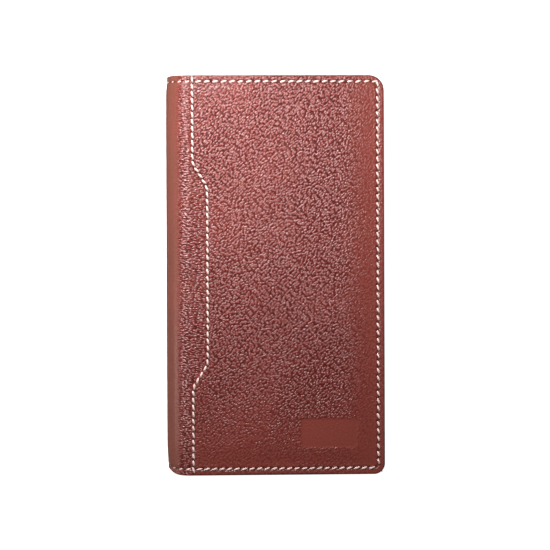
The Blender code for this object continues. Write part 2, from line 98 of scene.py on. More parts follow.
def make_mesh(name, points, faces, finish, uv=None, fields=None):
    """An object from points in millimetres. uv is one pair per point, and fields are named numbers."""
    mesh = bpy.data.meshes.new(name)
    mesh.from_pydata((np.asarray(points) * MM).tolist(), [], [list(face) for face in faces])
    if uv is not None:
        layer = mesh.uv_layers.new(name="UVMap")
        corner = np.empty(len(mesh.loops), dtype=np.int32)
        mesh.loops.foreach_get("vertex_index", corner)
        layer.data.foreach_set("uv", (np.asarray(uv)[corner] * MM).astype(np.float32).ravel())
    for key, values in (fields or {}).items():
        attribute = mesh.attributes.new(key, "FLOAT", "POINT")
        attribute.data.foreach_set("value", np.asarray(values, dtype=np.float32).ravel())
    shape = bmesh.new()
    shape.from_mesh(mesh)
    bmesh.ops.recalc_face_normals(shape, faces=shape.faces)
    shape.to_mesh(mesh)
    shape.free()
    mesh.shade_smooth()
    obj = bpy.data.objects.new(name, mesh)
    bpy.context.scene.collection.objects.link(obj)
    for each in finish if isinstance(finish, list) else [finish]:
        mesh.materials.append(each)
    return obj


def carried(name, grid, finish, **extras):
    """A closed profile carried along a line. Each row of the grid is one ring, and both ends are capped."""
    rings, size = grid.shape[:2]
    faces = quads(rings, size, ring=True).tolist()
    faces.append(np.arange(size)[::-1].tolist())
    faces.append((np.arange(size) + (rings - 1) * size).tolist())
    return make_mesh(name, grid.reshape(-1, 3), faces, finish, **extras)


def settle(obj, body, slot, *nodes):
    """The piece rides on a body, if one is given, and stands for its CAD nodes. slot is not used."""
    if body:
        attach(obj, body)
    if nodes:
        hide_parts(*nodes)
    return obj


def keep_corners(obj):
    """Faces that meet at more than 50 degrees keep a hard edge between them."""
    obj.data.set_sharp_from_angle(angle=math.radians(50))
    return obj


def smooth(t):
    """0 below 0, 1 above 1, and an even S between: 3t^2 - 2t^3."""
    t = np.clip(t, 0, 1)
    return t * t * (3 - 2 * t)


print("a grid of 3 x 4 points has", len(quads(3, 4)), "faces, and as a tube", len(quads(3, 4, ring=True)))

# %% [markdown]
# ## Finishes made of nodes
# A finish is a small network: coordinates go into patterns, patterns into colours, roughness and bump. The
# helpers below make one node or one short chain each, so that a finish reads like a recipe. Coordinates are
# metres on the object, or metres along the surface where the leather goes round the spine.


# %% Node helpers
def new_finish(name):
    """A material with only its Principled shader and output. Returns the material, its tree and shader."""
    finish = bpy.data.materials.new(name)
    finish.use_nodes = True
    tree = finish.node_tree
    return finish, tree, tree.nodes["Principled BSDF"]


def node(tree, kind, **settings):
    """One node. A setting whose name is a socket's fills that socket, and any other is a property."""
    made = tree.nodes.new(kind)
    for key, value in settings.items():
        if key in made.inputs:
            made.inputs[key].default_value = value
        else:
            setattr(made, key, value)
    return made


def link(tree, source, target):
    """Joins an output to an input."""
    tree.links.new(source, target)


def ramp(tree, source, low, high, to_low=0.0, to_high=1.0):
    """Maps a number from one range to another by a smooth S, and clamps it."""
    made = node(tree, "ShaderNodeMapRange", interpolation_type="SMOOTHSTEP")
    names = ("From Min", "From Max", "To Min", "To Max")
    for socket, value in zip(names, (low, high, to_low, to_high)):
        made.inputs[socket].default_value = value
    link(tree, source, made.inputs["Value"])
    return made.outputs["Result"]


def maths(tree, operation, a, b):
    """One sum on two numbers, each a socket or a constant."""
    made = node(tree, "ShaderNodeMath", operation=operation)
    for socket, value in zip(made.inputs, (a, b)):
        if isinstance(value, (int, float)):
            socket.default_value = value
        else:
            link(tree, value, socket)
    return made.outputs[0]


def mix_colour(tree, factor, a, b):
    """Colour a where the factor is 0, and b where it is 1. Each is a constant or a socket."""
    made = node(tree, "ShaderNodeMix", data_type="RGBA")
    link(tree, factor, made.inputs["Factor"])
    for socket, value in ((made.inputs[6], a), (made.inputs[7], b)):
        if isinstance(value, (tuple, list)):
            socket.default_value = (*value, 1.0)
        else:
            link(tree, value, socket)
    return made.outputs[2]


def place(tree, on_surface, turn=0.0, stretch=(1, 1, 1)):
    """Pattern coordinates, on the surface or in the object. The pattern is stretched, and then turned."""
    coordinates = node(tree, "ShaderNodeTexCoord")
    mapping = node(tree, "ShaderNodeMapping", vector_type="TEXTURE")
    mapping.inputs["Rotation"].default_value = (0, 0, math.radians(turn))
    mapping.inputs["Scale"].default_value = stretch
    link(tree, coordinates.outputs["UV" if on_surface else "Object"], mapping.inputs["Vector"])
    return mapping.outputs["Vector"]


def noise(tree, where, scale, detail=3.0, roughness=0.5, space="3D"):
    """A noise pattern: scale is in cells to the metre, and space is 3D, or 2D for a flat pattern."""
    made = node(tree, "ShaderNodeTexNoise", noise_dimensions=space, Scale=scale, Detail=detail,
                Roughness=roughness)
    link(tree, where, made.inputs["Vector"])
    return made


def bump(tree, shader, height, strength, depth):
    """Bends the light on a surface as if it were raised by a height pattern, depth mm from low to high."""
    made = node(tree, "ShaderNodeBump", Strength=strength, Distance=depth * MM)
    link(tree, height, made.inputs["Height"])
    link(tree, made.outputs["Normal"], shader.inputs["Normal"])


print("a pattern with a cell 1 mm wide has a scale of", 1 / MM)

# %% [markdown]
# ## Grained leather
# Goat or calf leather that was plated with a pebble grain is a field of small domes with narrow valleys
# between them. In a Voronoi pattern the distance to the nearest cell's centre is least on each dome and
# most in the valleys, which is that form. A share of plain noise joins some domes into short worms, as a
# real hide does. The grain is smaller than a face of any mesh here, so it is bump. Valleys are also
# rougher and duller than the domes, and their colour is darker: that darker colour is painted shade in
# the valleys.


# %% Leather
LEVEL = 0.6


def leather(name, colour, valley_shade, glow, on_surface=False, turn=0.0, stretch=(1, 1, 1), cell=1.3,
            height=0.10, rough=(0.26, 0.44), worm=0.75, space="3D", fade=None,
            smooth_tone=None, stitched=False):
    """Grained leather. cell is the width of a grain in mm, and height the depth of its valleys.

    A dome is (1 - worm) x the Voronoi pattern + worm x the noise, and both are warped so that their rows
    wander. colour is the tone of a dome, valley_shade the darker tone of its valleys, which is painted
    shade, and glow of broad patches. fade is a function that returns a socket: where it is low the grain is
    weak, and the colour goes to smooth_tone. stitched leather is painted with shade, dark in the needle
    holes and faintly along the thread, where its field named pressed is high, and its field named
    flattened weakens the grain.
    """
    finish, tree, shader = new_finish(name)
    where = place(tree, on_surface, turn, stretch)
    warp = noise(tree, where, 260, 2.0)
    wander = node(tree, "ShaderNodeVectorMath", operation="MULTIPLY_ADD")
    link(tree, warp.outputs["Color"], wander.inputs[0])
    wander.inputs[1].default_value = (0.7 * MM, 0.7 * MM, 0.7 * MM)
    link(tree, where, wander.inputs[2])
    wander = wander.outputs[0]
    cells = node(tree, "ShaderNodeTexVoronoi", voronoi_dimensions=space, feature="F1", Scale=1000.0 / cell)
    link(tree, wander, cells.inputs["Vector"])
    cells.inputs["Randomness"].default_value = 0.85
    pebble = ramp(tree, cells.outputs["Distance"], 0.12, 0.66, 1.0, 0.0)
    swell = noise(tree, wander, 1480.0 / cell, 0.0, 0.4, space).outputs["Fac"]
    swell = ramp(tree, swell, 0.33, 0.64)
    shares = maths(tree, "MULTIPLY", pebble, 1 - worm), maths(tree, "MULTIPLY", swell, worm)
    dome = maths(tree, "ADD", *shares)
    strength = fade(tree) if fade else None
    flat = node(tree, "ShaderNodeAttribute", attribute_name="flattened").outputs["Fac"]
    flat = ramp(tree, flat, 0.0, 1.0, 1.0, 0.3)
    strength = maths(tree, "MULTIPLY", strength, flat) if strength else flat
    dome = maths(tree, "SUBTRACT", dome, LEVEL)
    dome = maths(tree, "ADD", LEVEL, maths(tree, "MULTIPLY", strength, dome))
    pores = noise(tree, where, 2600, 2.0).outputs["Fac"]
    relief = maths(tree, "ADD", dome, maths(tree, "MULTIPLY", pores, 0.05))
    bump(tree, shader, relief, 1.0, height)

    # Painted shade: the valleys take the darker valley_shade tone, and the dome tops the leather's colour.
    tone = mix_colour(tree, ramp(tree, dome, 0.1, 0.9), valley_shade, colour)
    if smooth_tone:
        tone = mix_colour(tree, strength, smooth_tone, tone)
    broad = noise(tree, where, 34, 3.0).outputs["Fac"]
    tone = mix_colour(tree, ramp(tree, broad, 0.42, 0.75, 0.0, 0.25), tone, glow)
    if stitched:
        # Painted shade: nearly black in the needle holes and a little darker along the line of thread.
        pressed = node(tree, "ShaderNodeAttribute", attribute_name="pressed").outputs["Fac"]
        dark = tuple(c * 0.22 for c in valley_shade)
        tone = mix_colour(tree, ramp(tree, pressed, 0.0, 1.0, 0.0, 0.95), tone, dark)
    link(tree, tone, shader.inputs["Base Color"])
    link(tree, ramp(tree, dome, 0.0, 1.0, rough[1], rough[0]), shader.inputs["Roughness"])
    link(tree, ramp(tree, dome, 0.05, 0.95, 0.12, 1.0), shader.inputs["Specular IOR Level"])
    shader.inputs["Coat Weight"].default_value = 0.06
    shader.inputs["Coat Roughness"].default_value = 0.25
    return finish


print("grain that fades away settles at", LEVEL, "of the height of a dome")

# %% [markdown]
# The grain is not the same all over. The press that shaped the cover flattened it towards the fore-edge and
# the bottom end, and bending over a form stretched it smooth round the middle of the spine. Both are ramps
# of one coordinate.


# %% Where the grain fades
def cover_fade(tree):
    """Full grain in the middle, weaker towards the fore-edge and the bottom end: two ramps, multiplied."""
    coordinates = node(tree, "ShaderNodeTexCoord")
    parts = node(tree, "ShaderNodeSeparateXYZ")
    link(tree, coordinates.outputs["Object"], parts.inputs[0])
    across = ramp(tree, parts.outputs["X"], 0.027, 0.046, 1.0, 0.5)
    along = ramp(tree, parts.outputs["Y"], -0.096, -0.048, 0.5, 1.0)
    return maths(tree, "MULTIPLY", across, along)


SPINE_MIDDLE = 0.0157


def spine_fade(tree):
    """Grain that grows with the distance from the middle of the spine, measured along the surface."""
    coordinates = node(tree, "ShaderNodeTexCoord")
    parts = node(tree, "ShaderNodeSeparateXYZ")
    link(tree, coordinates.outputs["UV"], parts.inputs[0])
    off = maths(tree, "ABSOLUTE", maths(tree, "SUBTRACT", parts.outputs["X"], SPINE_MIDDLE), 0.0)
    return ramp(tree, off, 0.0085, 0.0115, 0.12, 1.0)


print("the spine is smooth for", round(2 * 0.0085 / MM), "mm round its middle")

# %% [markdown]
# Four leathers are cut for this wallet: the cover's, the spine's, a softer and matt one for the inside, and
# the burnished cut edges. They are tones of one red, and differ in the width, depth and roughness of the
# grain. The spine's grain is drawn out across it by the bend.

# %% Four leathers
RED = (0.24, 0.034, 0.026)
# Painted shade: the darker tone that colours the grain's valleys.
RED_VALLEY_SHADE = (0.075, 0.011, 0.009)
RED_GLOW = (0.25, 0.040, 0.031)
cover_leather = leather("cover_leather", RED, RED_VALLEY_SHADE, RED_GLOW, turn=45, stretch=(1.35, 0.85, 1.0),
                        worm=0.3, space="2D", cell=1.1, height=0.235, rough=(0.25, 0.46),
                        fade=cover_fade, smooth_tone=(0.228, 0.046, 0.031), stitched=True)
spine_leather = leather("spine_leather", RED, RED_VALLEY_SHADE, (0.235, 0.05, 0.035), on_surface=True,
                        turn=6, stretch=(1.9, 0.8, 1.0), cell=0.98, height=0.21, rough=(0.24, 0.46),
                        worm=0.35, space="2D", fade=spine_fade, smooth_tone=(0.165, 0.050, 0.032),
                        stitched=True)
# Each leather's second tone is the painted shade of its valleys.
inner_leather = leather("inner_leather", (0.21, 0.045, 0.034), (0.145, 0.028, 0.021),
                        (0.24, 0.058, 0.043), cell=0.9, height=0.05, rough=(0.42, 0.62))
edge_leather = leather("edge_leather", (0.12, 0.055, 0.046), (0.07, 0.03, 0.026), (0.15, 0.075, 0.064),
                       cell=0.5, height=0.03, rough=(0.5, 0.7))
print("leathers:", [finish.name for finish in (cover_leather, spine_leather, inner_leather, edge_leather)])

# %% [markdown]
# ## Thread, cloth and metal
# Waxed thread is twisted, so its bump runs in slanting bands. Handling leaves a little soil on it, which is
# a faint second tone.


# %% Thread
def thread_finish():
    """Pale waxed thread: bands across its twist, and faint soil from a noise."""
    finish, tree, shader = new_finish("waxed_thread")
    where = place(tree, False, 40)
    bands = node(tree, "ShaderNodeTexWave", Scale=520.0, Distortion=1.0)
    link(tree, where, bands.inputs["Vector"])
    soil = noise(tree, where, 300).outputs["Fac"]
    ply = ramp(tree, bands.outputs["Fac"], 0.1, 0.7)
    tone = mix_colour(tree, ply, (0.80, 0.53, 0.475), (0.95, 0.71, 0.65))
    tone = mix_colour(tree, ramp(tree, soil, 0.45, 0.8, 0.0, 0.4), tone, (0.74, 0.52, 0.46))
    link(tree, tone, shader.inputs["Base Color"])
    bump(tree, shader, bands.outputs["Fac"], 0.8, 0.06)
    shader.inputs["Roughness"].default_value = 0.55
    shader.inputs["Sheen Weight"].default_value = 0.2
    return finish


thread = thread_finish()
print("thread finish:", thread.name)

# %% [markdown]
# The lining and the zip's tapes are plain weaves: two sets of bands at right angles, multiplied, so that a
# yarn stands up where both are high. Slubs, the thick places of a spun yarn, come from a noise.


# %% Cloth
def cloth_finish(name, warp_tone, weft_tone, pitch=0.45, rough=0.85):
    """A plain weave with a yarn every pitch mm."""
    finish, tree, shader = new_finish(name)
    where = place(tree, False)
    bands = []
    for axis in ("X", "Y"):
        wave = node(tree, "ShaderNodeTexWave", bands_direction=axis, Scale=1000.0 / pitch / 6.283,
                    Distortion=0.6)
        link(tree, where, wave.inputs["Vector"])
        bands.append(wave.outputs["Fac"])
    weave = maths(tree, "MULTIPLY", bands[0], bands[1])
    slub = noise(tree, where, 500, 3.0).outputs["Fac"]
    slub_tone = tuple(c * 1.5 for c in warp_tone)
    tone = mix_colour(tree, ramp(tree, weave, 0.0, 0.7), weft_tone, warp_tone)
    tone = mix_colour(tree, ramp(tree, slub, 0.5, 0.8, 0.0, 0.4), tone, slub_tone)
    link(tree, tone, shader.inputs["Base Color"])
    bump(tree, shader, weave, 0.7, 0.08)
    shader.inputs["Roughness"].default_value = rough
    shader.inputs["Sheen Weight"].default_value = 0.06
    return finish


lining_cloth = cloth_finish("lining_cloth", (0.13, 0.058, 0.045), (0.06, 0.026, 0.021))
zip_cloth = cloth_finish("zip_cloth", (0.15, 0.045, 0.036), (0.07, 0.02, 0.017), pitch=0.6)
print("cloths:", lining_cloth.name, zip_cloth.name)

# %% [markdown]
# The zip's metal is plated: its roughness varies in fine streaks, and it is duller in patches. Foam, board
# and nylon are a speckle of two tones with a rough bump.


# %% Metal, foam, board and nylon
def metal_finish(name, colour, rough):
    """Plated metal: streaks of noise in the roughness, and dull patches in the colour."""
    finish, tree, shader = new_finish(name)
    where = place(tree, False, stretch=(1, 0.2, 1))
    wipe = noise(tree, where, 1500, 3.0).outputs["Fac"]
    link(tree, ramp(tree, wipe, 0.3, 0.75, rough * 0.75, rough * 1.5), shader.inputs["Roughness"])
    patch = noise(tree, where, 240, 2.0).outputs["Fac"]
    dull = tuple(c * 0.72 for c in colour)
    tone = mix_colour(tree, ramp(tree, patch, 0.45, 0.8, 0.0, 0.5), colour, dull)
    link(tree, tone, shader.inputs["Base Color"])
    shader.inputs["Metallic"].default_value = 1.0
    return finish


def fibre_finish(name, light, dark, rough):
    """A speckle of two tones, raised where it is light."""
    finish, tree, shader = new_finish(name)
    where = place(tree, False)
    speck = noise(tree, where, 1400, 4.0, 0.7).outputs["Fac"]
    link(tree, mix_colour(tree, ramp(tree, speck, 0.35, 0.65), dark, light), shader.inputs["Base Color"])
    bump(tree, shader, speck, 0.6, 0.1)
    shader.inputs["Roughness"].default_value = rough
    return finish


pale_metal = metal_finish("pale_metal", (0.86, 0.80, 0.68), 0.34)
coil_nylon = fibre_finish("coil_nylon", (0.19, 0.06, 0.048), (0.12, 0.036, 0.03), 0.4)
foam_finish = fibre_finish("foam_finish", (0.78, 0.75, 0.68), (0.66, 0.62, 0.55), 0.95)
board_finish = fibre_finish("board_finish", (0.34, 0.27, 0.20), (0.24, 0.19, 0.14), 0.9)
print("finishes made so far:", len(bpy.data.materials))

# %% [markdown]
# ## The shape of a cover
# A padded cover is highest in its middle and slopes away to its sewn edges. The height of its face is a
# function of x and y, built from distances: how far a point lies from the stepped edge, and how far from
# the rim. The stepped edge is narrow at the ends of the wallet and wide in the middle, with soft corners.


# %% Stepped edge and rim
def step_edge(y):
    """x of the stepped edge: a ramp between two lines. Softplus curves round its two corners."""
    t = (STEP_OUTER - np.abs(y)) / (STEP_OUTER - STEP_INNER)
    k = 11.0
    rise = (np.logaddexp(0, k * t) - np.logaddexp(0, k * (t - 1))) / k
    return EDGE_NARROW + (EDGE_WIDE - EDGE_NARROW) * rise


def step_slope(y):
    """How far the stepped edge moves in x for each mm in y."""
    return (step_edge(y + 0.05) - step_edge(y - 0.05)) / 0.1


def step_slant(y):
    """Length of the stepped edge per mm of y: the long side of a right triangle on its slope."""
    return np.sqrt(1 + step_slope(y)**2)


def from_step(x, y):
    """Distance of a point from the stepped edge."""
    return (x - step_edge(y)) / step_slant(y)


def from_rim(x, y):
    """Distance of a point from the cover's outer edge, round its two fore-edge corners."""
    radius = np.where(y > 0, TOP_CORNER, BOTTOM_CORNER)
    a, b = FORE_EDGE - x, END - np.abs(y)
    corner = radius - np.hypot(np.clip(radius - a, 0, None), np.clip(radius - b, 0, None))
    return np.where((a < radius) & (b < radius), corner, np.minimum(a, b))


print("stepped edge at the middle and at an end:", round(step_edge(0.0), 1), round(step_edge(80.0), 1))

# %% [markdown]
# The padding thins towards the edges, each seam pulls the leather down into a soft furrow, and a maker
# would press a mark near the bottom fore-edge corner. Here that mark is a blank plate. Foam is never quite
# even, so three slow waves of unlike length and direction raise and lower the whole face a little.

# %% Heights of the cover
PLATE_X, PLATE_Y, PLATE_HALF_X, PLATE_HALF_Y = 24.0, -73.2, 13.0, 6.6
PLATE_CORNER, PLATE_DEPTH = 2, 0.17


def end_fall(y):
    """How far the leather falls towards the wallet's two ends, more gently at the bottom end."""
    gap = END - np.abs(y)
    return 0.55 * (1 - smooth(gap / np.where(y > 0, 9.0, 16.0))) + 0.1 * (1 - smooth(gap / 30.0))


def fall(x, y):
    """How far the cover falls at a point: the end fall and the fore-edge fall, as sides of a right angle."""
    fore = 0.95 * (1 - smooth((FORE_EDGE - x) / 19.0))
    return np.hypot(end_fall(y), fore)


def groove(distance, depth=0.3, width=0.55):
    """A soft furrow: a bell curve of the distance from its middle line."""
    return depth * np.exp(-((distance / width) ** 2))


def plate_mark(x, y):
    """1 inside the blank pressed plate and 0 outside, from the distance to a rounded rectangle."""
    dx = np.abs(x - PLATE_X) - PLATE_HALF_X + PLATE_CORNER
    dy = np.abs(y - PLATE_Y) - PLATE_HALF_Y + PLATE_CORNER
    outside = np.hypot(np.clip(dx, 0, None), np.clip(dy, 0, None))
    reach = outside - PLATE_CORNER + np.minimum(np.maximum(dx, dy), 0)
    return smooth(0.5 - reach / 0.9)


def lumps(x, y):
    """Slow, shallow unevenness of leather over foam: the sum of three sine waves."""
    wave = np.sin(x / 9.3 + y / 14.1 + 0.4) + np.sin(x / 6.1 - y / 8.7 + 2.0)
    return 0.035 * (wave + 0.7 * np.sin(x / 15.0 - y / 23.0))


def cover_top(x, y):
    """Height of the front cover's leather above the table."""
    z = THICK - fall(x, y) + lumps(x, y) - 0.1
    z = z - groove(from_rim(x, y) - SEAM_INSET) - groove(from_step(x, y) - CONTOUR_INSET, 0.22, 0.5)
    return z - PLATE_DEPTH * plate_mark(x, y) - groove(from_rim(x, y) - 6.2, 0.05, 2.0)


for spot in ((0.0, 0.0), (46.0, 88.0)):
    print("height of the front cover at", spot, "is", round(cover_top(*spot), 2), "mm")

# %% [markdown]
# ## Stitches
# Saddle stitches are short slanting dashes: each comes up through one hole and goes down through the next.
# One dash is a small capsule that arches up in its middle. It is copied by arrays along a seam: each copy
# gets its own place, direction and normal. A hundred dashes need few faces each, so a ring has only 6
# points.


# %% Stitch helper
def stitch_mesh(name, places, directions, normals, finish, length=2.85, thick=0.45, arch=0.42):
    """One mesh of many stitches. A stitch is a ring of 6 points carried along a line of 7 stations.

    Its half-width follows a superellipse, so its ends are blunt, and its middle rises in a parabola.
    """
    stations, sides = 7, 6
    t = np.linspace(-1, 1, stations)
    angle = np.arange(sides) * 2 * math.pi / sides
    width = thick * np.sqrt(np.clip(1 - np.abs(t * 0.97) ** 3.4, 0, 1))
    along = np.repeat(t * length / 2, sides)
    aside = (width[:, None] * np.cos(angle)).ravel()
    up = (width[:, None] * 0.85 * np.sin(angle) + arch * (0.75 - t[:, None] ** 2 * 1.15)).ravel()

    count = len(places)
    spread = 1 + rng.uniform(-0.06, 0.06, count)[:, None]
    directions = directions / np.linalg.norm(directions, axis=1, keepdims=True)
    side = np.cross(normals, directions)
    side /= np.linalg.norm(side, axis=1, keepdims=True)
    points = (places[:, None, :] + (spread * along[None, :])[..., None] * directions[:, None, :]
              + aside[None, :, None] * side[:, None, :] + up[None, :, None] * normals[:, None, :])
    one = quads(stations, sides, ring=True)
    per = stations * sides
    starts = (np.arange(count) * per)[:, None, None]
    walls = (one[None] + starts).reshape(-1, 4)
    ends = np.stack([np.arange(sides)[::-1], np.arange(sides) + per - sides])
    caps = (ends[None] + starts).reshape(-1, sides)
    return make_mesh(name, points.reshape(-1, 3), walls.tolist() + caps.tolist(), finish)


def slanted(directions, normals, degrees):
    """Directions turned about their normals: cos a times the direction, plus sin a times its sideways one."""
    angle = np.radians(degrees)
    return np.cos(angle) * directions + np.sin(angle) * np.cross(normals, directions)


print("a stitch has", 7 * 6, "points")

# %% [markdown]
# Four rows hold a cover: one along the fore-edge, one at each end, and one that follows the stepped edge.
# The last is spaced by its own length: the running sum of small steps along the curve gives a length for
# each y, and reading that table backwards gives the y of each stitch. A hand-sewn row is never quite
# regular, so each slant varies by a few degrees.


# %% Seams of a cover
def bare_top(x, y):
    """Height of the face without its furrows, on which the thread lies."""
    return THICK - fall(x, y) - 0.1 + lumps(x, y)


def on_cover(x, y):
    """Points on the front cover's face with the face's normals, found from the heights around them."""
    slope_x = (bare_top(x + 0.2, y) - bare_top(x - 0.2, y)) / 0.4
    slope_y = (bare_top(x, y + 0.2) - bare_top(x, y - 0.2)) / 0.4
    normals = np.stack([-slope_x, -slope_y, np.ones_like(x)], axis=1)
    normals /= np.linalg.norm(normals, axis=1, keepdims=True)
    return np.stack([x, y, bare_top(x, y) - 0.2], axis=1), normals


def stepped_row(pitch=3.22):
    """Places and headings along the stepped edge, evenly spaced by its length."""
    y = np.linspace(-END + 1.6, END - 1.6, 4000)
    run = np.concatenate([[0], np.cumsum(np.diff(y) * step_slant(y[1:]))])
    y = np.interp(np.arange(0.9, run[-1], pitch), run, y)
    slope = step_slope(y)
    heading = np.stack([slope, np.ones_like(slope), 0 * slope], axis=1)
    return step_edge(y) + CONTOUR_INSET * step_slant(y), y, heading


def cover_seams():
    """Places, directions and normals of a cover's stitches, and the holes at both ends of each one."""
    side_y = np.arange(-86.6, 88.6, 3.5)
    top_x = np.arange(-36.0, 47.0, 3.9)
    bottom_x = np.arange(-36.2, 46.6, 3.48)
    rows = [
        (np.full_like(side_y, FORE_EDGE - SEAM_INSET), side_y, (0, 1, 0), 23),
        (top_x, np.full_like(top_x, END - SEAM_INSET), (1, 0, 0), 14),
        (bottom_x, np.full_like(bottom_x, SEAM_INSET - END), (1, 0, 0), 17),
        (*stepped_row(), 14),
    ]
    places, directions, normals, holes = [], [], [], []
    for x, y, direction, slant in rows:
        spots, normal = on_cover(x, y)
        heading = np.broadcast_to(np.asarray(direction, float), normal.shape)
        heading = heading / np.linalg.norm(heading, axis=1, keepdims=True)
        wobble = rng.uniform(-3.0, 3.0, len(x))[:, None]
        turned = slanted(heading, normal, slant + wobble)
        places.append(spots)
        directions.append(turned)
        normals.append(normal)
        holes += [spots[:, :2] + turned[:, :2] * 1.55, spots[:, :2] - turned[:, :2] * 1.55]
    return [np.concatenate(parts) for parts in (places, directions, normals, holes)]


seam_places, seam_directions, seam_normals, needle_holes = cover_seams()
print("stitches on one cover:", len(seam_places))

# %% [markdown]
# ## The cover's leather
# The outline of a panel has four sides: the stepped edge, the fore-edge and the two ends. Each is a curve
# that is walked by its length, so that points can be set closer together where the stitches are. The
# corners' arcs are shared by the two sides that meet there.


# %% Outline of a panel
def spacing(total, fine_start, fine_end, fine=0.3, coarse=0.52):
    """Numbers from 0 to 1 for a line of this length, closer together at its two ends."""
    start = np.arange(0, fine_start, fine)
    end = total - np.arange(0, fine_end, fine)[::-1]
    middle = np.linspace(start[-1], end[0], int((end[0] - start[-1]) / coarse) + 2)[1:-1]
    return np.concatenate([start, middle, end]) / total


def fore_curve(t, inset):
    """The fore-edge from the middle of one corner's arc to the middle of the other's, by its length."""
    low, high = BOTTOM_CORNER - inset, TOP_CORNER - inset
    first, last = low * math.pi / 4, high * math.pi / 4
    straight = 2 * END - BOTTOM_CORNER - TOP_CORNER
    s = t * (first + straight + last)
    a = -math.pi / 4 + np.clip(s, 0, first) / low
    b = np.clip(s - first - straight, 0, last) / high
    x = np.where(s < first, FORE_EDGE - BOTTOM_CORNER + low * np.cos(a), FORE_EDGE - inset)
    x = np.where(s > first + straight, FORE_EDGE - TOP_CORNER + high * np.cos(b), x)
    y = np.where(s < first, -END + BOTTOM_CORNER + low * np.sin(a), -END + BOTTOM_CORNER + s - first)
    y = np.where(s > first + straight, END - TOP_CORNER + high * np.sin(b), y)
    return np.stack([x, y], axis=-1)


def end_curve(t, inset, top):
    """The top or bottom edge, from the stepped edge to the middle of the corner's arc."""
    corner = TOP_CORNER if top else BOTTOM_CORNER
    radius = corner - inset
    start = EDGE_NARROW + inset
    straight = FORE_EDGE - corner - start
    s = t * (straight + radius * math.pi / 4)
    a = np.clip(s - straight, 0, None) / radius
    x = np.where(s < straight, start + s, FORE_EDGE - corner + radius * np.sin(a))
    y = np.where(s < straight, END - inset, END - corner + radius * np.cos(a))
    return np.stack([x, y if top else -y], axis=-1)


print("points across a cover:", len(spacing(88.0, 3.0, 4.2)), "and along it:", len(spacing(184.0, 4.2, 4.2)))

# %% [markdown]
# A Coons patch spreads a grid over the outline: each inner point is the blend between one pair of facing
# sides, plus the blend between the other pair, less the blend of the four corners, which was counted twice.


# %% Plan of a panel
def panel_plan(inset):
    """Grid of (x, y) over the panel's outline drawn in by an inset, by a Coons patch."""
    u = spacing(88.0, 3.0, 4.2)[None, :, None]
    v = spacing(184.0, 4.2, 4.2)[:, None, None]
    y_left = (v[:, 0, 0] * 2 - 1) * (END - inset)
    left = np.stack([step_edge(y_left) + inset * step_slant(y_left), y_left], axis=-1)[:, None, :]
    right = fore_curve(v[:, 0, 0], inset)[:, None, :]
    bottom = end_curve(u[0, :, 0], inset, False)[None]
    top = end_curve(u[0, :, 0], inset, True)[None]
    corners = ((1 - u) * (1 - v) * bottom[:, :1] + u * (1 - v) * bottom[:, -1:]
               + (1 - u) * v * top[:, :1] + u * v * top[:, -1:])
    return (1 - v) * bottom + v * top + (1 - u) * left + u * right - corners


print("the panel's plan is a grid of", panel_plan(0.85).shape[:2], "points")

# %% [markdown]
# Every stitch goes through two needle holes. The leather is drawn down at each hole and pressed along the
# line of thread. This is one number for each point, from its distance to the nearest hole; it sinks the
# surface a little, and it also paints shade: nearly black in each hole and a little darker along the
# thread. It is measured block by block, because a table of every point against every hole would be large.


# %% Needle holes
def hole_dent_and_shade(xy):
    """1 in a needle hole and 0 away from it, with a soft rim, and a faint line under the thread: a dent and
    painted shade.
    """
    x, y = xy[:, 0], xy[:, 1]
    near = (from_rim(x, y) < 4.5) | (from_step(x, y) < 3.0)
    field = np.zeros(len(xy))
    spots = xy[near]
    best = np.full(len(spots), 99.0)
    hole_x, hole_y = needle_holes.T
    for start in range(0, len(spots), 4000):
        block = spots[start:start + 4000]
        gap = np.hypot(block[:, None, 0] - hole_x[None, :], block[:, None, 1] - hole_y[None, :])
        best[start:start + 4000] = gap.min(axis=1)
    field[near] = np.exp(-((best / 0.52) ** 2))
    line = np.minimum(np.abs(from_rim(x, y) - SEAM_INSET), np.abs(from_step(x, y) - CONTOUR_INSET))
    return np.maximum(field, 0.35 * np.exp(-((line / 0.7) ** 2)))


print("needle holes in one cover:", len(needle_holes))

# %% [markdown]
# A sheet becomes a solid piece when rings of points go on from its border. To walk round a grid needs the
# numbers of its border points, and each ring is the border moved in or out. The back cover is the front one
# turned over.


# %% Borders and rings
def border(rows, cols):
    """Numbers of the points round a grid's edge, in order."""
    bottom = np.arange(cols)
    right = np.arange(1, rows) * cols + cols - 1
    top = (rows - 1) * cols + np.arange(cols - 2, -1, -1)
    left = np.arange(rows - 2, 0, -1) * cols
    return np.concatenate([bottom, right, top, left])


def draw_in(loop, distance):
    """A closed outline moved inwards, with mitred corners. Points run anticlockwise."""
    before = loop - np.roll(loop, 1, axis=0)
    after = np.roll(loop, -1, axis=0) - loop
    before = before / np.linalg.norm(before, axis=1, keepdims=True)
    after = after / np.linalg.norm(after, axis=1, keepdims=True)
    a = np.stack([-before[:, 1], before[:, 0]], axis=1)
    b = np.stack([-after[:, 1], after[:, 0]], axis=1)
    mitre = (a + b) / (1 + (a * b).sum(axis=1, keepdims=True))
    return loop + mitre * np.asarray(distance).reshape(-1, 1)


def mirrored(points, side):
    """The back cover is the front one turned over: its heights are measured down from the top."""
    if side == FRONT:
        return points
    return points * np.array([1, 1, -1]) + np.array([0, 0, THICK])


print("a grid of 4 x 5 points has", len(border(4, 5)), "points on its border")

# %% [markdown]
# The rings go over a rounded shoulder, down the side wall and under a lip. The wall is shorter where the
# panel ends on the spine leather. Nobody sees the underside, so it is a coarse grid with one point for six
# of the face's, joined to the last ring by triangles.


# %% Edge and underside of a panel
SHOULDER, SKIN, COARSE = 0.85, 0.85, 6
SHOULDER_ANGLES = np.radians([72, 50, 28, 8])


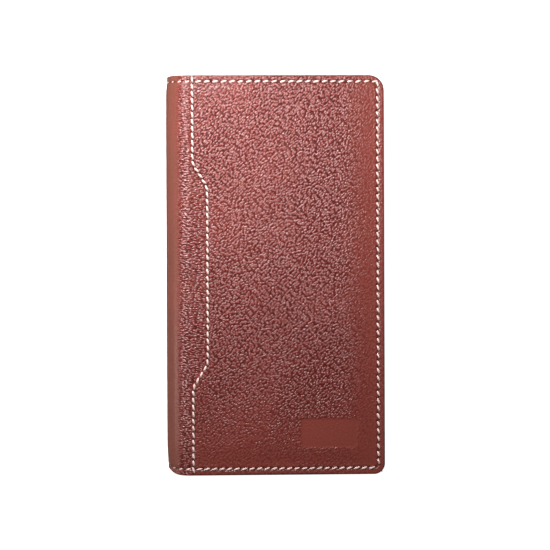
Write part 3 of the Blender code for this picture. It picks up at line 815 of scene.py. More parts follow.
def edge_rings(loop, top, at_step):
    """Rings round the edge: a quarter circle over the shoulder, then a wall, a lip and the underside."""
    floor = np.where(at_step, 20.75 - end_fall(loop[:, 1]), THICK - RIM_DEPTH)
    rings = []
    for angle in SHOULDER_ANGLES:
        moved = draw_in(loop, np.full(len(loop), -SHOULDER * math.cos(angle)))
        drop = SHOULDER * (1 - math.sin(angle)) * np.where(at_step, 0.75, 1.0)
        rings.append(np.column_stack([moved, top - drop]))
    under = cover_top(loop[:, 0], loop[:, 1]) - SKIN
    under = np.where(at_step, np.maximum(under, floor + 0.25), under)
    lips = [(0.0, floor + 0.25), (0.28, floor), (RIM_WALL, floor), (RIM_WALL + 0.2, floor + 0.3)]
    for inset, height in [*lips, (RIM_WALL + 0.3, under)]:
        rings.append(np.column_stack([draw_in(loop, np.full(len(loop), inset - SHOULDER)), height]))
    return rings


def under_side(rows, cols, edge, ring, first):
    """Points and faces of the underside. Each point of the last ring is joined to its nearest coarse one."""
    low_rows = np.unique(np.append(np.arange(0, rows, COARSE), rows - 1))
    low_cols = np.unique(np.append(np.arange(0, cols, COARSE), cols - 1))
    low_plan = panel_plan(RIM_WALL + 0.3)[np.ix_(low_rows, low_cols)].reshape(-1, 2)
    low_points = np.column_stack([low_plan, cover_top(low_plan[:, 0], low_plan[:, 1]) - SKIN])
    low_faces = quads(len(low_rows), len(low_cols), first)[:, ::-1]
    row, col = edge // cols, edge % cols
    low_row = np.searchsorted(low_rows, row, side="right") - 1
    low_col = np.searchsorted(low_cols, col, side="right") - 1
    on_top, on_left = row == rows - 1, (col == 0) & (row < rows - 1)
    low_col = np.where(on_top, np.searchsorted(low_cols, col), low_col)
    low_row = np.where(on_left, np.searchsorted(low_rows, row), low_row)
    owner = low_row * len(low_cols) + low_col + first
    ring_next, owner_next = np.roll(ring, -1), np.roll(owner, -1)
    one = np.stack([ring, ring_next, owner_next], axis=1)
    two = np.stack([ring, owner_next, owner], axis=1)[owner != owner_next]
    return low_points, one.tolist() + two.tolist() + low_faces.tolist()


print("rings round the shoulder:", len(SHOULDER_ANGLES))

# %% [markdown]
# The face, the rings and the underside make one closed mesh. Its wall and underside take the finish of a
# cut edge, and the rest is grained. Only the front carries the pressed plate.


# %% Leather panels
def cover_panel(side):
    """The panel of one cover, sunk at its needle holes, with their painted shade and its plate as fields for
    the leather finish.
    """
    plan = panel_plan(SHOULDER)
    rows, cols = plan.shape[:2]
    xy = plan.reshape(-1, 2)
    holes, blank = hole_dent_and_shade(xy), plate_mark(xy[:, 0], xy[:, 1])
    z = cover_top(xy[:, 0], xy[:, 1]) - 0.35 * np.clip(holes - 0.4, 0, None)
    if side == BACK:
        z = z + PLATE_DEPTH * blank
        blank = 0 * blank
    edge = border(rows, cols)
    loop = xy[edge]
    at_step = from_step(loop[:, 0], loop[:, 1]) < SHOULDER + 0.15
    grained = at_step & np.roll(at_step, -1)
    rings = edge_rings(loop, z[edge], at_step)
    faces = quads(rows, cols).tolist()
    marks = [0] * len(faces)
    ring, first, size = edge, rows * cols, len(edge)
    for k in range(len(rings)):
        following = np.arange(size) + first + k * size
        faces += np.stack([ring, np.roll(ring, -1), np.roll(following, -1), following], axis=1).tolist()
        marks += np.where(grained, 0, int(k > 1)).tolist()
        ring = following
    low_points, low_faces = under_side(rows, cols, edge, ring, first + len(rings) * size)
    marks += [1] * len(low_faces)
    points = mirrored(np.concatenate([np.column_stack([xy, z]), *rings, low_points]), side)
    # The pressed field paints shade in the colour: dark in the needle holes and along the thread.
    pressed, flattened = np.zeros(len(points)), np.zeros(len(points))
    pressed[:first], flattened[:first] = holes, blank
    obj = make_mesh(f"{side}_cover_leather", points, faces + low_faces, [cover_leather, edge_leather],
                    fields={"pressed": pressed, "flattened": flattened})
    obj.data.polygons.foreach_set("material_index", np.array(marks, dtype=np.int32))
    print(obj.name, "has", len(points), "points")
    return settle(obj, side, "outer_leather", f"{side}_leather_panel")


for cover in (FRONT, BACK):
    cover_panel(cover)

# %% [markdown]
# The thread of one cover is one mesh of many dashes. A real seam is one long thread that shows only above
# the leather, so the parts that pass through it are left out. The back's thread is the front's, turned
# over.


# %% Cover stitches
for cover in (FRONT, BACK):
    turned_over = np.array([1, 1, 1 if cover == FRONT else -1])
    row = stitch_mesh(f"{cover}_stitching", mirrored(seam_places, cover), seam_directions * turned_over,
                      seam_normals * turned_over, thread)
    settle(row, cover, "thread", f"{cover}_edge_seam_thread", f"{cover}_contour_seam_thread")
    print(row.name, "has", len(row.data.vertices), "points")

# %% [markdown]
# ## The spine
# One strip of leather runs under the front panel, round the spine and under the back panel. Its profile is
# a path of two straight runs and a half circle. The strip's ends are drawn in a little where it turns round
# the spine, because leather that is bent two ways at once gathers.


# %% Path of the spine
HALF_TURN = math.pi * SPINE_R
BULGE = 0.65
FLAT_RUN = FLAP_END - SPINE_X


def arc(degrees):
    """Distance along the spine's half circle to an angle: radius x angle in radians."""
    return math.radians(degrees) * SPINE_R


def spine_path(s, radius):
    """Point at distance s along the spine: flat, half circle, flat.

    s is 0 where the half circle begins at the front, and is measured on the outer face.
    """
    angle = np.clip(s / SPINE_R, 0, math.pi)
    x = SPINE_X - radius * np.sin(angle) + np.clip(-s, 0, None) + np.clip(s - HALF_TURN, 0, None)
    z = SPINE_Z + radius * np.cos(angle)
    return x, z


def end_pull(s, y):
    """How far the strip's ends are drawn in along Y: a bell curve round the middle of the half circle."""
    bell = np.exp(-(((s / SPINE_R - math.pi / 2) / 0.62) ** 2))
    bottom = 3.3 * bell * (np.clip(-y, 0, None) / END) ** 14
    return bottom - 0.5 * bell * (np.clip(y, 0, None) / END) ** 14


def end_rows(step=1.5):
    """Rows along the wallet, close together near its ends."""
    tail = np.array([0, 0.08, 0.25, 0.55, 1.0, 1.5, 1.9, 2.2, 2.5, 2.8, 3.1, 3.4, 3.7, 4.2, 5, 6, 7.5])
    middle = np.linspace(-END + 9, END - 9, int((2 * END - 18) / step) + 1)
    return np.concatenate([-END + tail, middle, END - tail[::-1]])


print("length round the spine in mm:", round(HALF_TURN, 1))

# %% [markdown]
# The strip is that path with a thickness, carried along Y. The leather bulges in the middle of the half
# circle and lies closer at its top and bottom, and it sinks at its ends and along its seam.


# %% One length of the spine
def spine_length(name, start, end, outer, wall, finish, seam):
    """One length of the strip: a closed loop of outer and inner points at each row along Y."""
    rows = end_rows()
    s = np.linspace(start, end, max(8, int((end - start) / 0.7)))
    loop_s = np.concatenate([s, s[::-1]])
    inside = np.concatenate([np.zeros(len(s)), np.ones(len(s))])[None, :]
    near_end = END - np.abs(rows)
    over = 0.4 - np.sqrt(np.clip(0.16 - np.clip(0.4 - near_end, 0, None) ** 2, 0, None))
    furrow = end_fall(rows) * 0.9 + groove(near_end - SEAM_INSET, 0.25, 0.55) if seam else 0
    sink = (over + furrow)[:, None]
    flatter = 0.6 * BULGE * (1 - np.sin(np.clip(loop_s / SPINE_R, 0, math.pi)))[None, :] * (outer > SPINE_R)
    radius = outer - (sink + flatter) * (1 - inside) - (wall + 0.5 * sink) * inside
    x, z = spine_path(loop_s[None, :], radius)
    y = rows[:, None] + end_pull(loop_s[None, :], rows[:, None])
    uv = np.stack(np.broadcast_arrays(loop_s[None, :], y), axis=-1).reshape(-1, 2)
    # Painted shade for the colour: dark in the needle holes and along the seam's line.
    hole_shade = np.zeros((len(rows), len(loop_s)))
    if seam:
        hole = np.abs(((loop_s[None, :] + 1.95) % 3.9) - 1.95)
        off_seam = (near_end - SEAM_INSET)[:, None]
        gap = np.hypot(hole, off_seam)
        line = 0.3 * np.exp(-((off_seam / 0.7) ** 2))
        hole_shade = np.maximum(np.exp(-((gap / 0.5) ** 2)), line) * (1 - inside)
    grid = np.stack([x, y + 0 * x, z], axis=-1)
    return keep_corners(carried(name, grid, finish, uv=uv, fields={"pressed": hole_shade}))


print("rows along each length:", len(end_rows()))

# %% [markdown]
# The strip bends as the wallet opens, so it is made in four lengths. Each crosses one fold line. None of
# them is attached to a body: they keep the closed shape.

# %% Spine strip
CHAIN = ["front", "spine_high", "spine_middle", "spine_low", "back"]
leather_cuts = [-FLAT_RUN, arc(45), arc(90), arc(135), HALF_TURN + FLAT_RUN]
lining_cuts = [0.0, arc(45), arc(90), arc(135), HALF_TURN]
NODE_ENDS = ["front_flap", "strip_1", "strip_2", "strip_3", "back_flap"]
for k in range(4):
    covered = NODE_ENDS[k:k + 1] if k < 3 else NODE_ENDS[3:]
    for kind, cuts, outer, wall, finish, slot in (
        ("leather", leather_cuts, SPINE_R + BULGE, 1.0 + BULGE, spine_leather, "outer_leather"),
        ("lining", lining_cuts, 8.0, 0.4, lining_cloth, "lining"),
    ):
        strip = spine_length(f"spine_{kind}_{k + 1}", cuts[k], cuts[k + 1], outer, wall, finish,
                             kind == "leather")
        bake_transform(strip)
        settle(strip, None, slot, *[f"spine_{kind}_{part}" for part in covered])
print("spine lengths in mm:", [round(b - a, 1) for a, b in zip(leather_cuts, leather_cuts[1:])])

# %% [markdown]
# The row of stitches near each end goes on round the spine. Every dash is short against the bend, so it can
# stay stiff and ride on the spine length that it is nearest to.


# %% Spine stitches
def spine_stitches(end_sign):
    """Stitches round the spine near one end, with the body that each rides on."""
    s = np.arange(-0.4, HALF_TURN + 1.0, 3.9) + 1.6
    angle = np.clip(s / SPINE_R, 0, math.pi)
    row_y = end_sign * (END - SEAM_INSET)
    x, z = spine_path(s, SPINE_R - end_fall(np.array(row_y)) * 0.9 - 0.12)
    y = row_y + end_pull(s, np.full_like(s, row_y)) * (0.8 if end_sign < 0 else 1.0)
    normals = np.stack([-np.sin(angle), 0 * angle, np.cos(angle)], axis=1)
    heading = np.stack([np.cos(angle), 0 * angle, np.sin(angle)], axis=1)
    return np.stack([x, y, z], axis=1), slanted(heading, normals, 15), normals, np.degrees(angle)


both = [spine_stitches(sign) for sign in (1, -1)]
spots, headings, ups, degrees = (np.concatenate([end[k] for end in both]) for k in range(4))
borders = [-1, 22.5, 67.5, 112.5, 157.5, 181]
for number, body in enumerate(CHAIN):
    mine = (degrees > borders[number]) & (degrees <= borders[number + 1])
    if mine.any():
        group = stitch_mesh(f"spine_stitching_{number + 1}", spots[mine], headings[mine], ups[mine], thread,
                            length=2.5, thick=0.38)
        settle(group, body, "thread")
print("stitches round the spine:", len(spots))

# %% [markdown]
# ## Plates
# Boards, linings, pocket panels and pouch walls are flat pieces, cut to an outline with rounded corners. A
# corner's arc touches both sides, so its centre lies on the line that halves the corner.


# %% Outlines with round corners
def rounded_outline(corners, step=12.0):
    """Points round (x, y, radius) corners, anticlockwise, with an arc of that radius at each corner."""
    count = len(corners)
    pieces = []
    for i, (x, y, radius) in enumerate(corners):
        corner = np.array([x, y], float)
        back = np.array(corners[i - 1][:2], float) - corner
        ahead = np.array(corners[(i + 1) % count][:2], float) - corner
        back, ahead = back / np.linalg.norm(back), ahead / np.linalg.norm(ahead)
        half = math.acos(np.clip(back @ ahead, -1, 1)) / 2
        if radius <= 0 or half > 1.56:
            pieces.append(corner[None])
            continue
        centre = corner + (back + ahead) / np.linalg.norm(back + ahead) * radius / math.sin(half)
        start = corner + back * radius / math.tan(half) - centre
        turn = math.pi - 2 * half
        turn = turn if back[0] * ahead[1] - back[1] * ahead[0] < 0 else -turn
        angles = np.linspace(0, turn, max(3, int(abs(math.degrees(turn)) / step) + 1))
        cos, sin = np.cos(angles), np.sin(angles)
        arc_points = np.stack([start[0] * cos - start[1] * sin, start[0] * sin + start[1] * cos], axis=1)
        pieces.append(centre + arc_points)
    return np.concatenate(pieces)


def even(loop, pitch):
    """The same closed outline with extra points on its long straight runs."""
    closed = np.concatenate([loop, loop[:1]])
    lengths = np.linalg.norm(np.diff(closed, axis=0), axis=1)
    parts = [a + (b - a) * np.linspace(0, 1, max(1, int(n / pitch)) + 1)[:-1, None]
             for a, b, n in zip(closed, closed[1:], lengths)]
    return np.concatenate(parts)


square = [(0, 0, 1), (9, 0, 1), (9, 9, 1), (0, 9, 1)]
print("a square with round corners has", len(rounded_outline(square)), "points")

# %% [markdown]
# A plate is its outline, drawn in and raised through a quarter circle at each face, so its edge is soft. A
# slab has a shaped face instead: it is two grids, one over the other, closed round their border.


# %% Plate helper
def plate(name, loop, low, high, finish, soft=None):
    """A flat piece between two heights with its edge rounded: 1 - cos a in, and 1 - sin a up."""
    soft = min((high - low) / 2.05, 0.5) if soft is None else soft
    angles = np.radians([90, 60, 30, 0])
    insets = [soft * (1 - math.cos(a)) for a in (*angles, *angles[::-1])]
    heights = [low + soft * (1 - math.sin(a)) for a in angles]
    heights += [high - soft * (1 - math.sin(a)) for a in angles[::-1]]
    rings = [np.column_stack([draw_in(loop, np.full(len(loop), inset)), np.full(len(loop), height)])
             for inset, height in zip(insets, heights)]
    return keep_corners(carried(name, np.stack(rings), finish))


def slab(name, face, under, finish):
    """A piece from two grids of points, closed by a strip of faces round the border that they share."""
    rows, cols = face.shape[:2]
    faces = quads(rows, cols).tolist() + quads(rows, cols, rows * cols)[:, ::-1].tolist()
    edge = border(rows, cols)
    following = np.roll(edge, -1)
    faces += np.stack([edge, following, following + rows * cols, edge + rows * cols], axis=1).tolist()
    return make_mesh(name, np.concatenate([face.reshape(-1, 3), under.reshape(-1, 3)]), faces, finish)


def cover_outline(spine_edge, inset):
    """Outline of a layer inside a cover, drawn in from the cover's outer edge."""
    right, end = FORE_EDGE - inset, END - inset
    return rounded_outline([(spine_edge, -end, 0), (right, -end, BOTTOM_CORNER - inset),
                            (right, end, TOP_CORNER - inset), (spine_edge, end, 0)])


def between(side, depths):
    """The two heights of a layer from its depths below the cover's outer face."""
    return sorted(THICK - depth if side == FRONT else depth for depth in depths)


print("depths of 0.9 and 2.1 mm in the front cover are at heights", between(FRONT, (0.9, 2.1)))

# %% [markdown]
# ## Inside the covers
# Under the leather lie a foam pad, a board and a lining cloth. Only their edges can be seen, and only when
# the wallet is open. The board keeps its CAD shape, and the foam is a soft slab that thins at its edges.


# %% Cover layers
def foam_slab(side):
    """Foam: a grid whose top follows the leather above it, and whose edge is thin on all four sides."""
    u, v = np.linspace(0, 1, 46), np.linspace(0, 1, 90)
    left, right, end = FLAP_END + 2.4, FORE_EDGE - 3.4, END - 3.4
    x = left + (right - left) * u[None, :] + 0 * v[:, None]
    y = end * (2 * v[:, None] - 1) + 0 * u[None, :]
    edge = np.minimum(np.minimum(x - left, right - x), end - np.abs(y))
    low = THICK - 2.1
    top = low + 0.05 + (cover_top(x, y) - 0.92 - low - 0.05) * np.sqrt(smooth(edge / 2.0))
    face, under = np.stack([x, y, top], -1), np.stack([x, y, 0 * x + low], -1)
    return slab(f"{side}_foam", mirrored(face, side), mirrored(under, side), foam_finish)


for cover in (FRONT, BACK):
    foam = settle(foam_slab(cover), cover, "foam", f"{cover}_foam_pad")
    cloth = plate(f"{cover}_lining_cloth", even(cover_outline(SPINE_X + 0.3, 1.7), 6),
                  *between(cover, (3.0, 3.4)), lining_cloth)
    settle(cloth, cover, "lining", f"{cover}_lining")
    panel = plate(f"{cover}_pocket_leather", even(cover_outline(SPINE_X - 1.5, 0.5), 6),
                  *between(cover, (4.0, 4.5)), inner_leather)
    settle(panel, cover, "inner_leather", f"{cover}_pocket_panel")
    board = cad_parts[f"{cover}_stiffener_board"]
    board.data.materials.clear()
    board.data.materials.append(board_finish)
    print(cover, "layers:", foam.name, cloth.name, panel.name, board.name)

# %% [markdown]
# ## Card pockets
# Eight leather slips lie like shingles on the front pocket panel, each with its mouth turned over: the fold
# makes a thicker hem with a pressed line below it. The slip is a profile in the (along, through) plane,
# carried across the wallet. Each leans so that its mouth stands proud of the slip below it.


# %% Card pockets
POCKET_PITCH, POCKET_RISE, POCKET_COUNT, FIRST_MOUTH = 13.0, 0.42, 8, 72.0
POCKET_LEFT, POCKET_RIGHT = SPINE_X - 1.4, FORE_EDGE - 0.9
POCKET_WIDTH, POCKET_REACH = 91.6, 50.0
FOOT = 0.9 - END


def pocket_slip(number):
    """One card pocket. Its outer face has a rounded hem 2.6 mm deep and then a pressed line."""
    mouth = FIRST_MOUTH - (number - 1) * POCKET_PITCH
    reach = mouth - FOOT if number == POCKET_COUNT else POCKET_REACH
    lean = POCKET_RISE * POCKET_REACH / POCKET_PITCH / reach
    near = [0.0, 0.04, 0.12, 0.25, 0.6, 1.2, 1.8, 2.2, 2.5, 2.8, 3.1, 3.5, 4.2]
    t = np.concatenate([near, np.linspace(6, reach, 22)])
    hem = 0.17 * smooth(t / 0.25) * (1 - smooth((t - 2.2) / 0.6)) - 0.07 * np.exp(-(((t - 2.9) / 0.35) ** 2))
    half = 0.15 * np.sqrt(np.clip(1 - np.clip(1 - t / 0.15, 0, 1) ** 2, 0.0, 1))
    ends = np.array([0, 0.1, 0.3])
    x = np.concatenate([ends, np.linspace(1.2, POCKET_WIDTH - 0.9, 60), POCKET_WIDTH - ends[::-1]])
    x = POCKET_LEFT + x * (POCKET_RIGHT - POCKET_LEFT) / POCKET_WIDTH
    thin = 1 - 0.8 * np.clip(1 - np.minimum(x - POCKET_LEFT, POCKET_RIGHT - x) / 0.3, 0, 1) ** 2
    middle = (THICK - 4.8 - lean * (reach - t))[:, None]
    outer = middle - (half + hem)[:, None] * thin[None, :]
    inner = middle + half[:, None] * thin[None, :]
    sag = 0.35 * np.sin(np.pi * (x - POCKET_LEFT) / POCKET_WIDTH)
    y = (mouth - t)[:, None] - sag[None, :] * np.exp(-t / 5)[:, None]
    x = x[None, :] + 0 * y
    face, under = np.stack([x, y, outer], -1), np.stack([x, y, inner], -1)
    return slab(f"card_slip_{number}", face, under, inner_leather)


for number in range(1, POCKET_COUNT + 1):
    settle(pocket_slip(number), FRONT, "inner_leather", f"card_pocket_{number}")
print("card pockets:", POCKET_COUNT, "with mouths", POCKET_PITCH, "mm apart")

# %% [markdown]
# The pockets are sewn down both sides and along the foot. The row climbs the steps of the pockets, so each
# stitch takes its height from the pocket that is outermost there.


# %% Pocket stitches
def upright(x, y, z):
    """Places and headings of a row that runs along Y at one x. A row's z is one number or one for each y."""
    places = np.stack(np.broadcast_arrays(float(x), y, z), axis=1)
    return places, np.tile([0.0, 1, 0], (len(y), 1))


def crosswise(x, y, z):
    """Places and headings of a row that runs across the wallet at one y."""
    places = np.stack(np.broadcast_arrays(x, float(y), z), axis=1)
    return places, np.tile([1.0, 0, 0], (len(x), 1))


def sewn_rows(name, rows, up):
    """One mesh of the stitches of several straight rows, all with the same side up."""
    places, headings = (np.concatenate(parts) for parts in zip(*rows))
    ups = np.tile([0.0, 0, up], (len(places), 1))
    return stitch_mesh(name, places, slanted(headings, ups, 14), ups, thread, length=2.3, thick=0.3, arch=0.3)


def pocket_seam():
    """Stitches that close the pockets at the spine side and the fore-edge side, and the last one's foot."""
    y = np.arange(-88.0, 70.0, 3.5)
    steps = np.clip(np.ceil((FIRST_MOUTH - y) / POCKET_PITCH), 1, POCKET_COUNT)
    mouth = FIRST_MOUTH - (steps - 1) * POCKET_PITCH
    reach = np.where(steps == POCKET_COUNT, mouth - FOOT, POCKET_REACH)
    lean = POCKET_RISE * POCKET_REACH / POCKET_PITCH / reach
    z = THICK - 4.95 - lean * (reach - (mouth - y)) - 0.05
    foot_x = np.arange(POCKET_LEFT + 5, POCKET_RIGHT - 4, 3.5)
    rows = [upright(x, y, z) for x in (POCKET_LEFT + 2.4, POCKET_RIGHT - 2.2)]
    return sewn_rows("pocket_stitching", rows + [crosswise(foot_x, -88.8, THICK - 5.08)], -1)


pocket_thread = settle(pocket_seam(), FRONT, "thread")
print(pocket_thread.name, "has", len(pocket_thread.data.vertices), "points")

# %% [markdown]
# ## Coin pouch
# The pouch is a flat box of leather and lining: a floor, a face with a slip pocket, and gussets at its ends
# that fold inwards like a bellows. Its walls are thin, so each is one closed shell. The floor and face are
# plates.


# %% Pouch floor and face
P_LEFT, P_RIGHT, P_END = SPINE_X - 1.0, 44.0, 88.0
P_LOW, P_HIGH, P_MID, P_WALL = 4.7, 14.5, 9.6, 0.6


def rectangle(left, right, low, high, radius=1.5):
    """Outline of a rectangle with round corners."""
    corners = (left, low), (right, low), (right, high), (left, high)
    return rounded_outline([(x, y, radius) for x, y in corners])


pouch_outline = even(rectangle(P_LEFT, P_RIGHT, -P_END, P_END), 6)
pouch_floor = plate("coin_pouch_floor", pouch_outline, P_LOW, P_LOW + P_WALL, lining_cloth)
settle(pouch_floor, BACK, "lining", "pouch_floor")
pouch_face = plate("coin_pouch_face", pouch_outline, P_HIGH - P_WALL, P_HIGH, inner_leather)
settle(pouch_face, BACK, "inner_leather", "pouch_face")
print("pouch in mm:", P_RIGHT - P_LEFT, "x", 2 * P_END, "x", round(P_HIGH - P_LOW, 1))

# %% [markdown]
# A flat pocket on the pouch's face holds notes. Its mouth dips in a smooth curve, so that a thumb can reach
# what is in it.


# %% Slip pocket
SLIP_RIGHT, SLIP_MOUTH, SLIP_DIP = 36.0, 58.0, 9.0


def slip_pocket():
    """A plate whose top edge falls by an S on each side of a flat dip."""
    x = np.linspace(SLIP_RIGHT - 1.5, P_LEFT + 1.5, 90)
    middle = (P_LEFT + SLIP_RIGHT) / 2
    top = np.column_stack([x, SLIP_MOUTH - SLIP_DIP * smooth(1 - (np.abs(x - middle) - 8) / 18)])
    foot = -P_END + 0.3
    lower = rounded_outline([(P_LEFT, foot, 0.8), (SLIP_RIGHT, foot, 0.8), (SLIP_RIGHT, SLIP_MOUTH, 1.5),
                             (P_LEFT, SLIP_MOUTH, 1.5)])
    lower = lower[lower[:, 1] < 0]
    near, nearer = SLIP_MOUTH - 1.2, SLIP_MOUTH - 0.3
    side = np.array([[SLIP_RIGHT, 0.0], [SLIP_RIGHT, near], [SLIP_RIGHT - 0.4, nearer]])
    other = np.array([[P_LEFT + 0.4, nearer], [P_LEFT, near], [P_LEFT, 0.0]])
    loop = even(np.concatenate([lower, side, top, other]), 6)
    return plate("slip_pocket_leather", loop, P_HIGH + 0.1, P_HIGH + 0.6, inner_leather, soft=0.22)


slip = settle(slip_pocket(), BACK, "inner_leather", "pouch_slip_pocket")
print(slip.name, "has", len(slip.data.vertices), "points")

# %% [markdown]
# The gussets and the spine side are profiles with a thickness, carried in one direction. A gusset's profile
# is a V with a rounded point, so that it folds when the pouch is pressed flat. The square root in it rounds
# the point.


# %% Pouch walls
def bellows(name, end_sign, finish):
    """A gusset with one inward fold: its profile is in (y, z), and it is carried across the wallet."""
    t = np.linspace(0, 1, 25)
    z = P_LOW + 0.7 + (P_HIGH - P_LOW - 1.4) * t
    inwards = 3.2 * (1 - np.sqrt((2 * t - 1) ** 2 + 0.012)) / (1 - math.sqrt(0.012))
    y = P_END - 0.55 - inwards
    slope = np.gradient(y, z)
    normal = np.stack([np.ones_like(slope), -slope], axis=1) / np.sqrt(1 + slope**2)[:, None]
    outer = np.column_stack([y, z]) + normal * 0.25
    inner = np.column_stack([y, z]) - normal * 0.25
    loop_y, loop_z = np.concatenate([outer, inner[::-1]]).T
    x = np.linspace(P_LEFT + 1.0, 42.4, 40)[:, None]
    return carried(name, np.stack(np.broadcast_arrays(x, end_sign * loop_y, loop_z), axis=-1), finish)


def back_wall():
    """The pouch's spine side: a strip of lining that bows out a little between the floor and the face."""
    t = np.linspace(0, 1, 15)
    z = P_LOW + 0.7 + (P_HIGH - P_LOW - 1.4) * t
    x = P_LEFT + 0.35 - 0.35 * np.sin(math.pi * t)
    loop_x, loop_z = np.concatenate([x, x[::-1] + 0.3]), np.concatenate([z, z[::-1]])
    y = np.linspace(-P_END + 0.3, P_END - 0.3, 60)[:, None]
    return carried("coin_pouch_back_wall", np.stack(np.broadcast_arrays(loop_x, y, loop_z), axis=-1),
                   lining_cloth)


for name, sign in (("top", 1), ("bottom", -1)):
    settle(bellows(f"{name}_bellows", sign, inner_leather), BACK, "inner_leather", f"pouch_{name}_gusset")
pouch_wall = settle(back_wall(), BACK, "lining", "pouch_spine_gusset")
print("each gusset folds inwards by 3.2 mm, and", pouch_wall.name, "bows by 0.35 mm")

# %% [markdown]
# One row of stitches runs along the zip side of the pouch's face, and one goes round the three closed sides
# of the slip pocket.


# %% Pouch stitches
def pouch_stitches():
    """The straight rows that close the pouch's face and its slip pocket."""
    slip_y = np.arange(-85.5, 55.0, 3.5)
    rows = [upright(40.0, np.arange(-85.0, 86.0, 3.5), P_HIGH - 0.08)]
    rows += [upright(x, slip_y, P_HIGH + 0.52) for x in (33.8, P_LEFT + 2.2)]
    rows.append(crosswise(np.arange(P_LEFT + 5.5, 31.5, 3.5), -85.8, P_HIGH + 0.52))
    return sewn_rows("pouch_stitching", rows, 1)


pouch_thread = settle(pouch_stitches(), BACK, "thread", "pouch_seam_thread")
print(pouch_thread.name, "has", len(pouch_thread.data.vertices), "points")

# %% [markdown]
# ## Zip
# Each tape is glued under a wall of the pouch and turns down to the middle of its mouth. Woven tape is
# never flat at its sewn edge, so the edge has a slight ripple.


# %% Zip tapes
ZIP_X, ZIP_END, TAPE_END = 43.0, 80.0, 86.5


def zip_tape(which, sign):
    """A tape: an L-shaped profile in (x, z), carried along Y."""
    wall = P_HIGH - P_MID - P_WALL - 0.1
    far, near = ZIP_X - 7.8, ZIP_X - 0.2
    loop = rounded_outline([(far, wall, 0), (far, wall - 0.4, 0), (near, wall - 0.4, 0.3), (near, 2.1, 0),
                            (ZIP_X + 0.2, 2.1, 0), (ZIP_X + 0.2, wall, 0.5)], 20)
    y = np.linspace(-TAPE_END, TAPE_END, 90)[:, None]
    ripple = 0.05 * np.sin(y / 3.1) * (loop[:, 0] > ZIP_X - 1)[None, :]
    grid = np.stack(np.broadcast_arrays(loop[:, 0] + ripple, y, P_MID + sign * loop[:, 1]), axis=-1)
    return keep_corners(carried(f"zip_{which}_cloth", grid, zip_cloth))


print("each tape is", 2 * TAPE_END, "mm long, and its coil", 2 * ZIP_END)

# %% [markdown]
# A nylon coil is a flattened spiral sewn along each tape, and the two mesh like gear teeth: one is half a
# turn behind the other. A spiral is a tube whose centre line goes round as it goes along. The tube has only
# five sides, because it is half a millimetre thick. The slider, its pull and the stops keep their CAD
# shapes.


# %% Zip coils and metal
COIL_PITCH, COIL_WIRE, COIL_SIDES = 1.5, 0.27, 5


def zip_coil(which, sign):
    """A flattened spiral: its centre line is an ellipse in (x, z), carried along Y by one pitch a turn."""
    t = np.arange(0, 2 * ZIP_END / COIL_PITCH, 1 / 10.0)
    phase = 2 * math.pi * t + (math.pi if sign > 0 else 0)
    y = -ZIP_END + 0.4 + t * COIL_PITCH * (2 * ZIP_END - 0.8) / (2 * ZIP_END)
    centre = np.column_stack([ZIP_X + 0.5 * np.cos(phase), y, P_MID + sign * (1.18 + 0.52 * np.sin(phase))])
    run = np.gradient(centre, axis=0)
    run /= np.linalg.norm(run, axis=1, keepdims=True)
    side = np.cross(run, [0.0, 1.0, 0.0])
    side /= np.linalg.norm(side, axis=1, keepdims=True)
    up = np.cross(side, run)
    angle = np.arange(COIL_SIDES) * 2 * math.pi / COIL_SIDES
    rings = (centre[:, None, :] + COIL_WIRE * np.cos(angle)[None, :, None] * side[:, None, :]
             + COIL_WIRE * np.sin(angle)[None, :, None] * up[:, None, :])
    return carried(f"zip_{which}_spiral", rings, coil_nylon)


for which, sign in (("lower", -1), ("upper", 1)):
    tape = settle(zip_tape(which, sign), BACK, "zip_tape", f"zip_{which}_tape")
    settle(zip_coil(which, sign), BACK, "zip_coil", f"zip_{which}_coil")
for name in ("zip_lower_top_stop", "zip_upper_top_stop", "zip_bottom_stop", "zip_slider", "zip_pull"):
    metal_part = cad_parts[name]
    metal_part.data.materials.clear()
    metal_part.data.materials.append(pale_metal)
print("turns in each coil:", round(2 * ZIP_END / COIL_PITCH))

# %% [markdown]
# ## Light, floor and camera
# A wide soft light above the top left puts a sheen on the upper left of the cover, and leaves the bottom
# right darker. A long strip beside the spine is seen only in gloss, and draws a highlight along it. Two
# weak fills, one on each side, open the shadows and are left out of the gloss.


# %% Lights
def area_light(name, place_m, aim_m, size, size_y, watts, colour):
    """A rectangular lamp that faces its aim, and that the camera doesn't see."""
    data = bpy.data.lights.new(name, "AREA")
    data.shape, data.size, data.size_y, data.energy, data.color = "RECTANGLE", size, size_y, watts, colour
    lamp = bpy.data.objects.new(name, data)
    bpy.context.scene.collection.objects.link(lamp)
    lamp.location = place_m
    heading = np.asarray(aim_m, float) - np.asarray(place_m, float)
    lamp.visible_camera = False
    lamp.rotation_euler = Vector(heading).to_track_quat("-Z", "Y").to_euler()
    return lamp


middle = (0.0, 0.0, 0.01)
area_light("key", (-0.075, 0.155, 0.205), (0.0, 0.02, 0.0), 0.16, 0.13, 1.26, (1.0, 0.985, 0.985))
shoulder_strip = area_light("shoulder_strip", (-0.31, -0.05, 0.21), (-0.045, -0.02, 0.01), 0.05, 0.34, 0.19,
                            (1.0, 0.98, 1.0))
shoulder_strip.visible_diffuse = False
side_fill = area_light("side_fill", (-0.9, 0.1, 0.12), middle, 0.3, 0.5, 2.0, (1.0, 0.97, 0.94))
fore_fill = area_light("fore_fill", (0.9, -0.2, 0.14), middle, 0.3, 0.5, 1.0, (1.0, 0.98, 0.96))
for lamp in (side_fill, fore_fill):
    lamp.visible_glossy = False

# %% [markdown]
# The floor glows a little, as a lit white sweep does, so no hard shadow shows on it. Leather would mirror
# it as a bright line, so it is left out of the gloss. The room's own light is weak and white.

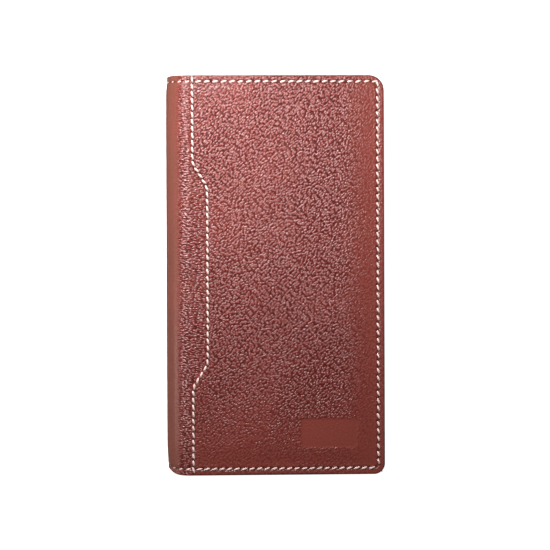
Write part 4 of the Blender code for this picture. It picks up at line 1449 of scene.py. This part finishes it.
# %% Room
world = bpy.data.worlds.new("studio")
bpy.context.scene.world = world
world.use_nodes = True
room = world.node_tree.nodes["Background"].inputs
room["Color"].default_value = (1.0, 1.0, 1.0, 1.0)
room["Strength"].default_value = 0.09

floor_finish, _, floor_shader = new_finish("white_sweep")
floor_shader.inputs["Base Color"].default_value = (0.9, 0.9, 0.9, 1.0)
floor_shader.inputs["Roughness"].default_value = 0.9
floor_shader.inputs["Emission Color"].default_value = (1.0, 1.0, 1.0, 1.0)
floor_shader.inputs["Emission Strength"].default_value = 1.0
HALF, DOWN = 4, -0.0004
ground = bpy.data.meshes.new("floor")
ground.from_pydata([(-HALF, -HALF, DOWN), (HALF, -HALF, DOWN), (HALF, HALF, DOWN), (-HALF, HALF, DOWN)], [],
                   [(0, 1, 2, 3)])
ground.materials.append(floor_finish)
floor = bpy.data.objects.new("floor", ground)
bpy.context.scene.collection.objects.link(floor)
floor.visible_glossy = False
print("the floor is", 2 * HALF, "m wide")

# %% [markdown]
# The camera looks almost straight down from far away, so the long sides stay nearly parallel. A slight lean
# to the spine's side shows the roundness of the spine.

# %% Camera
DISTANCE, TILT, LEAN, FOCAL_PX, ROLL = 1.60, 1.0, 4.0, 3440.0, 0.22
FRAME_PX, SENSOR = 550.0, 36.0
camera_data = bpy.data.cameras.new("camera")
camera_data.sensor_width = SENSOR
camera_data.lens = FOCAL_PX * SENSOR / FRAME_PX
camera_data.clip_start = 0.01
camera = bpy.data.objects.new("camera", camera_data)
bpy.context.scene.collection.objects.link(camera)
aim = Vector((-0.0002, -0.0001, 0.011))
lean, tilt = math.radians(LEAN), math.radians(TILT)
heading = Vector((-math.sin(lean), math.sin(tilt), math.cos(lean))).normalized()
camera.location = aim + DISTANCE * heading
camera.rotation_mode = "QUATERNION"
side = Vector((0, 1, 0)).cross(heading).normalized()
turn_matrix = Matrix((side, heading.cross(side), heading)).transposed()
camera.rotation_quaternion = turn_matrix.to_quaternion() @ Quaternion((0, 0, 1), math.radians(-ROLL))
bpy.context.scene.camera = camera
bpy.context.scene.view_settings.view_transform = "Standard"
print("lens in mm:", round(camera_data.lens, 1))
